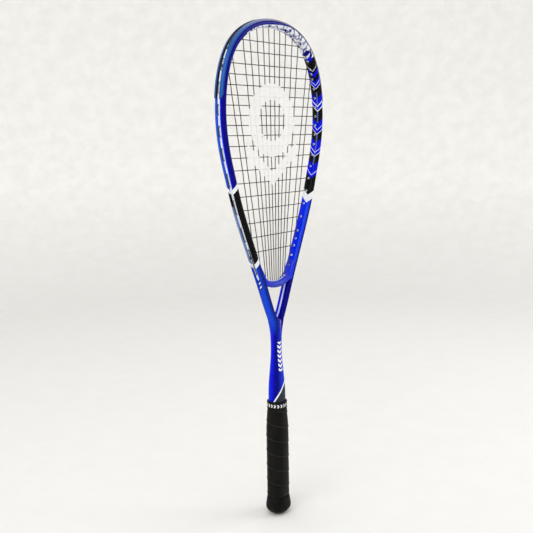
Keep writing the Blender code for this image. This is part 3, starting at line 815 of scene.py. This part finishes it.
def build_crosses(cross_s, tops, feet):
    path = []
    for k, s in enumerate(cross_s):
        side = 1 if k % 2 else -1
        z = CROSS_HEIGHTS[k]
        row = woven_row(z, k, mains_at(z, tops, feet))
        if side < 0:
            row = row[::-1]
        if k == 0:
            path += rim_exit(s, s - 7.0, -LANE)[::-1]
        path += row
        if k < len(cross_s) - 1:
            path += rim_loop(side * s, side * cross_s[k + 1], -LANE)
        else:
            path += rim_exit(side * s, side * (s + 9.0), -LANE)
    return build_string("strings_cross", path)


# ---------------------------------------------------------------- handle
def pallet_size(z):
    for (z0, a0, b0), (z1, a1, b1) in zip(PALLET, PALLET[1:]):
        if z <= z1:
            t = (z - z0) / (z1 - z0)
            return a0 + t * (a1 - a0), b0 + t * (b1 - b0)
    return PALLET[-1][1:]


# Tape profile across one turn: (share of the pitch, thickness), over and under.
TAPE_OVER = [(0.0, 0.75), (0.005, 1.35), (0.02, 1.66), (0.05, 1.78), (0.09, 1.74),
             (0.14, 1.55), (0.20, 1.42), (0.35, 1.40), (0.55, 1.42), (0.75, 1.36),
             (0.93, 1.16), (1.03, 1.0), (1.08, 0.75)]
TAPE_UNDER = [(1.08, 0.0), (0.5, 0.0), (0.14, 0.0), (0.1, 0.75)]
TAPE_SHARES = [share for share, _ in TAPE_OVER] + [1.0] * len(TAPE_UNDER)


def build_grip():
    """Spiral wrap: every turn laps over the edge of the one above it."""
    steps = 72
    turns = (GRIP_HIGH - GRIP_LOW) / GRIP_PITCH + 1.0
    rings = []
    for i in range(1, int(turns * steps)):
        u = i / steps
        angle = math.pi - 2 * math.pi * u
        low = GRIP_LOW + GRIP_PITCH * (u - 1.0)
        ring = []
        if low + GRIP_PITCH < GRIP_LOW + 0.6 or low > GRIP_HIGH - 0.6:
            continue
        for share, skin in TAPE_OVER + TAPE_UNDER:
            z = min(max(low + share * GRIP_PITCH, GRIP_LOW), GRIP_HIGH)
            edge = min(z - GRIP_LOW, GRIP_HIGH - z)
            a, b = pallet_size(z)
            thick = SEAT + skin * (0.8 + 0.2 * smooth(edge / 1.4))
            if low + share * GRIP_PITCH < GRIP_LOW - 0.01:
                thick = SEAT + min(skin, 0.4)
            x, y = superellipse(a + thick, b + thick, angle, SHAFT_POWER)
            ring.append(Vector((x, y, z + 0.0004 * share)))
        rings.append(ring)
    verts, faces = loft(rings)
    return add_mesh("grip_wrap", verts, faces, {"lap": TAPE_SHARES * len(rings)}, 50.0)


def build_turned(name, profile, sides=96, sharp=40.0, caps=True, closed=False):
    rings = [oval(z, a, b, sides) for z, a, b in profile]
    verts, faces = loft(rings, caps=caps and not closed, path_closed=closed)
    return add_mesh(name, verts, faces, None, sharp)


def build_collar():
    """Rubber sleeve with a rolled lower edge and a fine step near its top."""
    profile = [
        (157.4, 12.3, 12.1), (157.4, 13.35, 13.15), (157.6, 13.6, 13.4), (158.1, 13.7, 13.5),
        (158.6, 13.65, 13.45), (158.9, 13.45, 13.25), (159.2, 13.47, 13.27), (162.0, 13.49, 13.29),
        (165.6, 13.47, 13.27), (165.9, 13.45, 13.25), (166.2, 13.65, 13.45), (166.9, 13.65, 13.45),
        (167.6, 13.4, 13.2), (168.1, 13.0, 12.8), (168.4, 12.4, 12.2), (168.4, 11.75, 11.55),
        (166.0, 12.25, 12.05),
    ]
    return build_turned("collar_ring", profile, closed=True)


def build_tape():
    z0, z1 = TAPE_BAND
    profile = [(z0, 11.6, 11.4), (z0, 11.85, 11.65), (z0 + 0.15, 11.92, 11.72),
               (0.5 * (z0 + z1), 11.95, 11.75), (z1 - 0.15, 11.92, 11.72), (z1, 11.85, 11.65),
               (z1, 11.6, 11.4)]
    return build_turned("tape_band", profile, closed=True)


# ---------------------------------------------------------------- materials
def linear(r, g, b):
    """Linear colour from the familiar 0 to 255 scale."""
    out = []
    for c in (r, g, b):
        c /= 255.0
        out.append(c / 12.92 if c <= 0.04045 else ((c + 0.055) / 1.055) ** 2.4)
    return (*out, 1.0)


class Nodes:
    """Short calls that add shader nodes and wire them."""

    def __init__(self, name):
        self.mat = bpy.data.materials.new(name)
        self.mat.use_nodes = True
        self.tree = self.mat.node_tree
        self.shader = self.tree.nodes["Principled BSDF"]

    def put(self, socket, value):
        if isinstance(value, bpy.types.NodeSocket):
            self.tree.links.new(value, socket)
        elif value is not None:
            socket.default_value = value

    def add(self, kind, *values, out=0, **settings):
        node = self.tree.nodes.new(kind)
        for key, value in settings.items():
            setattr(node, key, value)
        for socket, value in zip(node.inputs, values):
            self.put(socket, value)
        return node.outputs[out]

    def math(self, operation, a, b=None, c=None):
        return self.add("ShaderNodeMath", a, b, c, operation=operation)

    def sub(self, a, b):
        return self.math("SUBTRACT", a, b)

    def times(self, a, b):
        return self.math("MULTIPLY", a, b)

    def plus(self, a, b):
        return self.math("ADD", a, b)

    def over(self, a, limit):
        return self.math("GREATER_THAN", a, limit)

    def under(self, a, limit):
        return self.math("LESS_THAN", a, limit)

    def within(self, a, low, high):
        return self.times(self.over(a, low), self.under(a, high))

    def either(self, a, b):
        return self.math("MAXIMUM", a, b)

    def attribute(self, name):
        node = self.tree.nodes.new("ShaderNodeAttribute")
        node.attribute_name = name
        return node.outputs["Fac"]

    def place(self):
        """Object-space x, y, z in millimetres."""
        coordinate = self.tree.nodes.new("ShaderNodeTexCoord").outputs["Object"]
        scaled = self.add("ShaderNodeVectorMath", coordinate, (1000.0,) * 3,
                          operation="MULTIPLY")
        split = self.tree.nodes.new("ShaderNodeSeparateXYZ")
        self.tree.links.new(scaled, split.inputs[0])
        return scaled, split.outputs[0], split.outputs[1], split.outputs[2]

    def vector(self, x, y, z=0.0):
        return self.add("ShaderNodeCombineXYZ", x, y, z)

    def mix(self, factor, a, b):
        node = self.tree.nodes.new("ShaderNodeMix")
        node.data_type = "RGBA"
        self.put(node.inputs["Factor"], factor)
        self.put(node.inputs[6], a)
        self.put(node.inputs[7], b)
        return node.outputs[2]

    def ramp(self, value, low, high, stops, interpolation="CONSTANT"):
        """Colour by position; stops are (position, colour) between low and high."""
        share = self.add("ShaderNodeMapRange", value, low, high, 0.0, 1.0)
        node = self.tree.nodes.new("ShaderNodeValToRGB")
        node.color_ramp.interpolation = interpolation
        elements = node.color_ramp.elements
        while len(elements) > 1:
            elements.remove(elements[-1])
        for k, (position, colour) in enumerate(stops):
            where = (position - low) / (high - low)
            element = elements[0] if k == 0 else elements.new(where)
            element.position = where
            element.color = colour
        self.tree.links.new(share, node.inputs[0])
        return node.outputs[0]

    def noise(self, vector, scale, detail=3.0, roughness=0.55):
        node = self.tree.nodes.new("ShaderNodeTexNoise")
        self.put(node.inputs["Vector"], vector)
        node.inputs["Scale"].default_value = scale
        node.inputs["Detail"].default_value = detail
        node.inputs["Roughness"].default_value = roughness
        return node.outputs[0]

    def spread(self, value, low, high, to_low, to_high):
        return self.add("ShaderNodeMapRange", value, low, high, to_low, to_high)

    def bump(self, height, strength, distance_mm, under=None):
        node = self.tree.nodes.new("ShaderNodeBump")
        node.inputs["Strength"].default_value = strength
        node.inputs["Distance"].default_value = distance_mm * MM
        self.put(node.inputs["Height"], height)
        self.put(node.inputs["Normal"], under)
        return node.outputs[0]

    def finish(self, colour, roughness, normal=None, **fixed):
        self.put(self.shader.inputs["Base Color"], colour)
        self.put(self.shader.inputs["Roughness"], roughness)
        self.put(self.shader.inputs["Normal"], normal)
        for key, value in fixed.items():
            self.shader.inputs[key.replace("_", " ")].default_value = value
        return self.mat


CHEVRON_AXIS = 14.6
CHEVRON_SLOPE = 1.0
WHITE = linear(232, 236, 243)
BLUE = linear(0, 16, 212)
BRIGHT = linear(0, 34, 226)
MID = linear(8, 64, 210)
DUSK = linear(10, 40, 140)
NAVY = linear(0, 0, 124)
# Dark navy used as painted shade on the facets turned away from the light.
DEEP_SHADE = linear(0, 0, 96)
BLACK = linear(6, 6, 9)
# Pale violet-blue used as a painted highlight streak.
VIOLET_HIGHLIGHT = linear(96, 106, 188)
SLATE = linear(44, 49, 62)
# Pale blue used as a painted highlight line beside the throat.
ICE_HIGHLIGHT = linear(216, 226, 248)


def head_pattern(n, run, across):
    """Bands and chevrons of the patterned side, by distance along the tube."""
    at = middle_at_height
    start, stop = at(646.0), at(430.0)
    slope = n.times(n.math("ABSOLUTE", n.sub(across, CHEVRON_AXIS)), CHEVRON_SLOPE)
    along = n.plus(run, slope)
    bands = [(start, BLUE), (at(638.8), BLACK), (at(621.5), BLUE), (at(617.0), BLACK),
             (at(611.0), BLUE), (at(602.0), BLACK), (at(587.4), BLUE), (at(569.0), BLACK),
             (at(552.4), BLUE), (at(537.0), BLACK), (at(524.5), BLUE), (at(505.0), BLACK),
             (at(492.4), BLUE), (at(473.8), BLACK), (at(451.6), WHITE), (at(440.5), BRIGHT)]
    colour = n.ramp(along, start, stop, bands)
    lines = [(start, (0, 0, 0, 1))]
    for height in (626.0, 606.5, 601.3, 576.5, 569.5, 542.7, 536.5, 510.7, 505.0, 479.2):
        lines += [(at(height + 0.55), (1, 1, 1, 1)), (at(height - 0.55), (0, 0, 0, 1))]
    mask = n.ramp(along, start, stop, lines)
    # Painted highlight: a pale violet-blue streak along the centre line of the inner wall, in two
    # runs of the head.
    centre = n.under(n.math("ABSOLUTE", n.sub(across, CHEVRON_AXIS)), 1.0)
    dark = n.within(run, at(596.0), at(552.4))
    dark = n.either(dark, n.within(run, at(537.0), at(492.4)))
    colour = n.mix(n.times(n.times(centre, dark), 0.75), colour, VIOLET_HIGHLIGHT)
    return n.mix(mask, colour, WHITE)


def paint_material():
    """Lacquered frame: solid side, patterned side, flaked crown and lined shaft, with painted facet
    shading and painted highlight lines on the head and arms.
    """
    n = Nodes("frame_lacquer")
    place, x, y, z = n.place()
    along = n.attribute("along")
    girth = n.attribute("girth")
    wall = n.over(n.attribute("wall"), 0.5)
    run = n.math("ABSOLUTE", along)
    right = n.over(along, 0.0)
    nearest = n.math("MINIMUM", girth, n.sub(GIRTH, girth))
    patterned = n.times(right, n.under(girth, 0.7 * GIRTH))

    at = middle_at_height
    tilt = n.plus(run, n.times(nearest, 0.75))
    shift = 4.5
    solid = n.ramp(tilt, 0.0, RIM_LENGTH[-1] + 110.0, [
        (0.0, NAVY), (at(476.5) + shift, WHITE), (at(469.5) + shift, BLACK),
        (at(375.0) + shift, WHITE), (at(368.0) + shift, MID)])
    solid = n.mix(n.times(n.under(nearest, 1.6), n.under(tilt, at(476.5) + shift)), solid,
                  BRIGHT)
    back = n.over(girth, GIRTH - 4.0)
    solid = n.mix(n.times(back, n.under(tilt, at(476.5) + shift)), solid, linear(40, 96, 220))
    solid = n.mix(n.times(back, n.within(tilt, at(447.0), at(375.0) + shift)), solid,
                  linear(120, 146, 206))
    lower = n.over(tilt, at(368.0) + shift)
    # Painted facet shading on the solid side's arms: mid blue on the outer-front facet, darker
    # through the front to deep navy, then blue on the inner-front facet.
    arm = n.ramp(nearest, 0.0, 15.0, [(0.0, MID), (1.4, MID), (5.0, DUSK), (8.6, DEEP_SHADE),
                                      (10.4, BLUE)], "LINEAR")
    arm = n.mix(wall, arm, MID)
    decal = n.times(n.times(wall, n.under(n.math("ABSOLUTE", y), 1.7)), n.over(z, 331.0))
    dash = n.under(n.math("MODULO", n.plus(z, y), 6.0), 3.4)
    arm = n.mix(decal, arm, n.mix(dash, WHITE, BLACK))
    solid = n.mix(lower, solid, arm)

    # Painted facet shading on the patterned side: navy on the front facets, bright blue on the inner
    # face, a lighter blue painted highlight line where the two meet, and deep navy painted shade on
    # the back facets.
    front = n.mix(n.under(girth, 13.6), BRIGHT, linear(22, 66, 232))
    front = n.mix(n.under(girth, 9.3), front, NAVY)
    # Below the bridge: navy front facets and a blue inner face as painted facet shading, with a pale
    # painted highlight line along the inner face beside the throat.
    fork = n.mix(n.under(girth, 16.0), BLUE, NAVY)
    fork = n.mix(n.times(n.within(girth, 17.0, 19.6), n.over(z, 286.0)), fork, ICE_HIGHLIGHT)
    front = n.mix(n.under(z, 338.0), front, fork)
    front = n.mix(n.over(girth, 24.8), front, DEEP_SHADE)
    front = n.mix(wall, front, MID)
    pattern = head_pattern(n, run, girth)
    vee = n.plus(run, n.times(n.math("ABSOLUTE", n.sub(girth, CHEVRON_AXIS)), CHEVRON_SLOPE))
    pattern = n.mix(n.over(vee, at(440.0)), pattern, front)
    pattern = n.mix(n.under(run, at(644.0)), pattern, NAVY)
    colour = n.mix(patterned, solid, pattern)

    lip = n.spread(along, 0.0, 42.0, 9.3, 5.6)
    inner = n.times(n.over(girth, lip), n.under(girth, GIRTH - 9.2))
    crown = n.times(n.within(along, -64.0, at(643.0)), inner)
    flat = n.vector(n.times(along, 1.0), n.times(girth, 1.3))
    wobble = n.noise(flat, 0.3, 4.0, 0.7)
    shards = n.tree.nodes.new("ShaderNodeTexVoronoi")
    shards.feature = "DISTANCE_TO_EDGE"
    shards.inputs["Scale"].default_value = 0.10
    n.put(shards.inputs["Vector"], n.vector(n.plus(along, n.times(wobble, 16.0)),
                                            n.plus(girth, n.times(wobble, 7.0))))
    flake = n.over(shards.outputs[0], 0.075)
    flake = n.times(flake, n.over(n.noise(flat, 0.07, 4.0), 0.37))
    colour = n.mix(n.times(crown, flake), colour, WHITE)

    shaft = n.under(z, 283.5)
    turn = n.math("ARCTAN2", y, x)
    half_turn = n.math("MODULO", n.plus(n.times(turn, 180.0 / math.pi), 360.0), 180.0)
    body = n.ramp(half_turn, 0.0, 180.0, [
        (0.0, linear(0, 12, 216)), (12.0, linear(0, 0, 184)), (30.0, NAVY), (48.0, NAVY),
        (64.0, linear(10, 32, 168)), (85.0, linear(10, 46, 196)),
        (140.0, linear(6, 38, 208)), (180.0, linear(0, 12, 216))], "LINEAR")
    fade = n.spread(z, 283.0, 262.0, 0.0, 1.0)
    body = n.mix(fade, colour, body)
    off_mark = n.math("ABSOLUTE", n.plus(x, 1.3))
    marks_z = n.math("MODULO", n.plus(n.sub(z, n.times(off_mark, 0.9)), 100.0), 6.6)
    marks = n.times(n.under(marks_z, 3.6), n.under(off_mark, 3.5))
    marks = n.times(marks, n.within(z, 212.0, 254.0))
    body = n.mix(marks, body, WHITE)
    away = n.math("ABSOLUTE", n.plus(turn, math.radians(54.0)))
    edge = n.sub(195.8, n.times(n.math("POWER", away, 1.3), 12.4))
    body = n.mix(n.under(z, n.plus(edge, 2.4)), body, WHITE)
    body = n.mix(n.under(z, n.sub(edge, 1.3)), body, SLATE)
    colour = n.mix(shaft, colour, body)

    flecks = n.noise(place, 2.6, 2.0)
    glitter = n.spread(flecks, 0.35, 0.7, 0.86, 1.12)
    node = n.tree.nodes.new("ShaderNodeVectorMath")
    node.operation = "SCALE"
    n.put(node.inputs[0], colour)
    n.put(node.inputs["Scale"], glitter)
    tint = node.outputs[0]
    roughness = n.spread(n.noise(place, 0.35, 3.0), 0.3, 0.7, 0.24, 0.33)
    ripple = n.bump(n.noise(place, 0.22, 2.0), 0.06, 0.25)
    return n.finish(tint, roughness, ripple, Coat_Weight=0.08, Coat_Roughness=0.06,
                    Specular_IOR_Level=0.05)


def bridge_material():
    n = Nodes("bridge_lacquer")
    place, x, y, z = n.place()
    shade = n.ramp(n.math("ABSOLUTE", x), 0.0, 40.0,
                   [(0.0, linear(40, 60, 180)), (17.0, linear(26, 48, 190)),
                    (29.0, linear(2, 36, 214))], "LINEAR")
    flecks = n.spread(n.noise(place, 2.6, 2.0), 0.35, 0.7, 0.85, 1.12)
    node = n.tree.nodes.new("ShaderNodeVectorMath")
    node.operation = "SCALE"
    n.put(node.inputs[0], shade)
    n.put(node.inputs["Scale"], flecks)
    roughness = n.spread(n.noise(place, 0.35, 3.0), 0.3, 0.7, 0.24, 0.34)
    return n.finish(node.outputs[0], roughness, n.bump(n.noise(place, 0.22), 0.06, 0.25),
                    Coat_Weight=0.2, Coat_Roughness=0.08, Specular_IOR_Level=0.15)


def bumper_material():
    """Pearly guard: blue on the left flank, with a painted reflection of the bright surroundings that
    makes it paler and greyer over the top and right.
    """
    n = Nodes("guard_pearl_and_reflection")
    place, x, y, z = n.place()
    # Painted reflection: the colour turns paler and greyer from the left flank over the top to the
    # right.
    drift = n.plus(x, n.times(n.noise(place, 0.03, 2.0), 14.0))
    colour = n.ramp(drift, -110.0, 110.0, [
        (-110.0, linear(8, 72, 152)), (-88.0, linear(10, 72, 146)),
        (-60.0, linear(34, 78, 146)), (-30.0, linear(98, 108, 152)),
        (0.0, linear(138, 138, 156)), (110.0, linear(144, 138, 140))], "LINEAR")
    # Painted shade: black where the guard lines the groove.
    colour = n.mix(n.under(n.math("ABSOLUTE", y), 2.85), colour, BLACK)
    flecks = n.spread(n.noise(place, 3.2, 2.0), 0.3, 0.7, 0.86, 1.1)
    node = n.tree.nodes.new("ShaderNodeVectorMath")
    node.operation = "SCALE"
    n.put(node.inputs[0], colour)
    n.put(node.inputs["Scale"], flecks)
    scuffs = n.noise(n.add("ShaderNodeVectorMath", place, (0.3, 0.9, 0.3),
                           operation="MULTIPLY"), 1.1, 5.0, 0.7)
    roughness = n.spread(scuffs, 0.35, 0.75, 0.28, 0.46)
    return n.finish(node.outputs[0], roughness, n.bump(scuffs, 0.1, 0.12), Metallic=0.2,
                    Specular_IOR_Level=0.15, Coat_Weight=0.08, Coat_Roughness=0.2)


def grommet_material():
    n = Nodes("grommet_nylon")
    place, x, y, z = n.place()
    haze = n.noise(place, 0.25, 3.0)
    colour = n.mix(n.spread(haze, 0.35, 0.65, 0.0, 1.0), linear(230, 234, 242),
                   linear(206, 212, 226))
    fine = n.noise(place, 2.4, 3.0)
    return n.finish(colour, n.spread(fine, 0.3, 0.7, 0.36, 0.52), n.bump(fine, 0.12, 0.08),
                    Subsurface_Weight=0.08, Subsurface_Scale=0.001)


def string_material():
    """Dark multifilament with a stencilled ring and chevron in white ink."""
    n = Nodes("string_fibre")
    place, x, y, z = n.place()
    fibre = n.noise(n.add("ShaderNodeVectorMath", place, (5.0, 5.0, 5.0),
                          operation="MULTIPLY"), 1.0, 3.0)
    dark = n.mix(n.spread(fibre, 0.35, 0.65, 0.0, 1.0), linear(10, 10, 11), linear(38, 37, 38))
    dx = n.sub(x, -2.0)
    dz = n.times(n.sub(z, 556.0), 1.0)
    ring = n.math("SQRT", n.plus(n.times(dx, dx), n.times(dz, dz)))
    emblem = n.within(ring, 27.0, 48.0)
    wing = n.plus(z, n.times(n.math("ABSOLUTE", dx), -0.75))
    chevron = n.times(n.within(wing, 470.0, 488.0), n.under(n.math("ABSOLUTE", dx), 52.0))
    emblem = n.either(emblem, chevron)
    ragged = n.over(n.noise(place, 0.9, 3.0), 0.36)
    emblem = n.times(emblem, ragged)
    colour = n.mix(emblem, dark, linear(232, 234, 238))
    return n.finish(colour, n.spread(fibre, 0.3, 0.7, 0.3, 0.5), n.bump(fibre, 0.25, 0.08),
                    Coat_Weight=0.15)


def grip_material():
    """Satin polyurethane wrap with fine grain, a painted shadow line along each lap's edge and a
    painted highlight on the lap's rim.
    """
    n = Nodes("grip_polyurethane")
    place, x, y, z = n.place()
    grain = n.noise(place, 1.9, 5.0, 0.65)
    soft = n.noise(n.add("ShaderNodeVectorMath", place, (1.0, 1.0, 0.35),
                         operation="MULTIPLY"), 0.12, 3.0)
    colour = n.mix(n.spread(soft, 0.35, 0.65, 0.0, 1.0), linear(4, 4, 4),
                   linear(15, 14, 13))
    lap = n.attribute("lap")
    # Painted highlight: a lighter band just inside each lap's edge.
    colour = n.mix(n.within(lap, 0.03, 0.10), colour, linear(28, 27, 26))
    # Painted shadow: black lines at each lap's edge, where one turn laps over the next.
    colour = n.mix(n.either(n.under(lap, 0.012), n.over(lap, 0.96)), colour,
                   linear(0, 0, 0))
    roughness = n.spread(grain, 0.3, 0.7, 0.40, 0.56)
    normal = n.bump(grain, 0.22, 0.1, n.bump(soft, 0.25, 0.5))
    return n.finish(colour, roughness, normal, Specular_IOR_Level=0.1, Sheen_Weight=0.05,
                    Sheen_Roughness=0.35)


def rubber_material(name, dots):
    n = Nodes(name)
    place, x, y, z = n.place()
    grain = n.noise(place, 2.6, 4.0, 0.6)
    soft = n.noise(place, 0.1, 2.0)
    colour = n.mix(n.spread(soft, 0.35, 0.65, 0.0, 1.0), linear(4, 4, 4), linear(13, 13, 13))
    if dots:
        turn = n.times(n.math("ARCTAN2", y, x), 12.0)
        level = n.sub(z, 162.5)
        lean = n.plus(turn, n.times(n.math("ABSOLUTE", level), 0.55))
        wave = n.math("MODULO", n.plus(lean, 100.0), 4.2)
        marks = n.times(n.under(wave, 2.0), n.under(n.math("ABSOLUTE", level), 2.3))
        colour = n.mix(marks, colour, linear(214, 216, 220))
    return n.finish(colour, n.spread(grain, 0.3, 0.7, 0.42, 0.6), n.bump(grain, 0.18, 0.1),
                    Specular_IOR_Level=0.1)


def tape_material():
    n = Nodes("tape_vinyl")
    place, x, y, z = n.place()
    lines = n.noise(n.add("ShaderNodeVectorMath", place, (0.2, 0.2, 3.0),
                          operation="MULTIPLY"), 1.0, 3.0)
    colour = n.mix(n.spread(lines, 0.35, 0.65, 0.0, 1.0), linear(24, 24, 26),
                   linear(40, 40, 43))
    return n.finish(colour, n.spread(lines, 0.3, 0.7, 0.25, 0.4), n.bump(lines, 0.15, 0.08))


def foam_material():
    n = Nodes("pallet_foam")
    place, x, y, z = n.place()
    cells = n.noise(place, 1.2, 5.0, 0.7)
    colour = n.mix(n.spread(cells, 0.35, 0.65, 0.0, 1.0), linear(150, 142, 126),
                   linear(182, 174, 156))
    return n.finish(colour, n.spread(cells, 0.3, 0.7, 0.7, 0.9), n.bump(cells, 0.4, 0.3))


# ---------------------------------------------------------------- assembly
def dress(obj, material, *nodes, body=BODY):
    """Material, body and hidden stand-in parts of one piece."""
    obj.data.materials.clear()
    obj.data.materials.append(material)
    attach(obj, body)
    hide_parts(*nodes)
    return obj


def build_racket():
    cross_s = [rim_at_height(z) for z in CROSS_HEIGHTS]
    tops = [rim_at_main(j) for j in range(4)]
    tops += [cross_s[0] - CLOSE_STEP, cross_s[1] + SHARED_STEP, 0.5 * (cross_s[2] + cross_s[3])]
    feet = [main_x(j, MAIN_LOWER[0] - 6.0) for j in range(4)] + [BRIDGE_OUTER_MAIN]
    feet += [rim_at_main_foot(5), rim_at_height(OUTER_MAIN_FOOT)]
    side_holes = sorted(cross_s + tops[4:] + feet[5:] + [rim_at_height(TIE_OFF)])
    head_holes = [-s for s in reversed(tops[:4])] + tops[:4]
    seam = 0.5 * (tops[3] + side_holes[0])
    end = min(side_holes[-1] + 16.0, RIM_LENGTH[-1] - 1.0)

    dress(build_hoop(), paint_material(), "frame")
    dress(build_bridge(), bridge_material(), "throat_bridge")
    bumper_end = solve(0.0, RIM_LENGTH[-1], lambda s: rim(s)[1] - BUMPER_LOW)
    dress(build_bumper(bumper_end), bumper_material(), "bumper_guard")
    nylon = grommet_material()
    dress(build_strip("grommets_head", 0.4 - seam, seam - 0.4, head_holes), nylon,
          "grommet_strip_head")
    dress(build_strip("grommets_right", seam, end, side_holes), nylon, "grommet_strip_right")
    dress(build_strip("grommets_left", -end, -seam, [-s for s in side_holes]), nylon,
          "grommet_strip_left")
    throat_x = [-x for x in reversed(feet[:5])] + feet[:5]
    dress(build_throat_strip(throat_x), nylon, "grommet_strip_throat")
    fibre = string_material()
    dress(build_mains(tops, feet), fibre, "main_string")
    dress(build_crosses(cross_s, tops, feet), fibre, "cross_string")

    dress(build_grip(), grip_material(), "grip_tape")
    dress(build_turned("butt_moulding", BUTT_PROFILE), rubber_material("butt_rubber", False),
          "butt_cap")
    dress(build_tape(), tape_material(), "finishing_tape")
    dress(build_collar(), rubber_material("collar_rubber", True), "grip_collar",
          body=COLLAR_BODY)
    foam = foam_material()
    for name in ("handle_pallet_front", "handle_pallet_back"):
        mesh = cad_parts[name].data
        mesh.materials.clear()
        mesh.materials.append(foam)


def build_stage():
    """Pale round floor that curves up into a pale wall on every side."""
    profile = [(1.0, 0.0), (700.0, 0.0), (1500.0, 0.0)]
    profile += [(1500.0 + 1000.0 * math.sin(a), 1000.0 - 1000.0 * math.cos(a))
                for a in (math.radians(5.0 * k) for k in range(1, 18))]
    profile += [(2500.0, 1000.0), (2500.0, 1500.0), (2500.0, 2000.0)]
    rings = [[Vector((d * math.cos(2 * math.pi * k / 96), d * math.sin(2 * math.pi * k / 96),
                      h - 0.2)) for k in range(96)] for d, h in profile]
    verts, faces = loft(rings, caps=False)
    faces.append(tuple(range(96)))
    floor = add_mesh("studio_sweep", verts, faces, None, 60.0)
    n = Nodes("studio_plaster")
    place, x, y, z = n.place()
    mottle = n.noise(place, 0.02, 5.0, 0.6)
    colour = n.mix(n.spread(mottle, 0.35, 0.65, 0.0, 1.0), linear(236, 235, 232),
                   linear(243, 242, 240))
    # Painted shade: the sweep darkens towards the floor, up to 350 mm high.
    colour = n.mix(n.spread(z, 0.0, 350.0, 0.7, 0.0), colour, linear(214, 213, 211))
    n.finish(colour, 0.9, n.bump(mottle, 0.1, 2.0))
    floor.data.materials.append(n.mat)


def add_area(name, place, target, size, watts, colour=(1.0, 1.0, 1.0)):
    data = bpy.data.lights.new(name, "AREA")
    data.shape = "RECTANGLE"
    data.size, data.size_y = size
    data.energy = watts
    data.color = colour
    lamp = bpy.data.objects.new(name, data)
    lamp.location = place
    lamp.rotation_euler = (Vector(target) - Vector(place)).to_track_quat("-Z", "Y").to_euler()
    bpy.context.collection.objects.link(lamp)
    return lamp


def build_lights():
    world = bpy.data.worlds.new("studio")
    world.use_nodes = True
    background = world.node_tree.nodes["Background"]
    background.inputs["Color"].default_value = (1.0, 0.995, 0.98, 1.0)
    background.inputs["Strength"].default_value = 0.82
    bpy.context.scene.world = world
    add_area("key", (-1.6, -0.2, 1.7), (0, 0, 0.4), (1.2, 1.4), 18.0)
    add_area("fill", (1.15, -0.95, 1.25), (0, 0, 0.3), (0.9, 0.9), 8.5)
    add_area("top", (0.2, 0.3, 2.4), (0, 0, 0.3), (1.6, 1.6), 9.0)


def build_camera():
    """Camera turned about its own axis by the roll, then aimed at the target."""
    az, el = math.radians(CAMERA_AZIMUTH), math.radians(CAMERA_ELEVATION)
    back = Vector((math.cos(el) * math.sin(az), -math.cos(el) * math.cos(az), math.sin(el)))
    right = (-back).cross(Vector((0.0, 0.0, 1.0))).normalized()
    up = right.cross(-back)
    roll = math.radians(CAMERA_ROLL)
    across = math.cos(roll) * right + math.sin(roll) * up
    upright = -math.sin(roll) * right + math.cos(roll) * up
    data = bpy.data.cameras.new("view")
    data.lens = CAMERA_LENS
    data.sensor_width = 36.0
    data.clip_start = 0.01
    camera = bpy.data.objects.new("view", data)
    turn = Matrix((across, upright, back)).transposed().to_4x4()
    place = Vector(CAMERA_TARGET) + CAMERA_DISTANCE * back
    camera.matrix_world = Matrix.Translation(place) @ turn
    bpy.context.collection.objects.link(camera)
    bpy.context.scene.camera = camera


build_camera()
build_racket()
build_stage()
build_lights()
bpy.context.scene.view_settings.view_transform = "Standard"

bpy.context.view_layer.update()
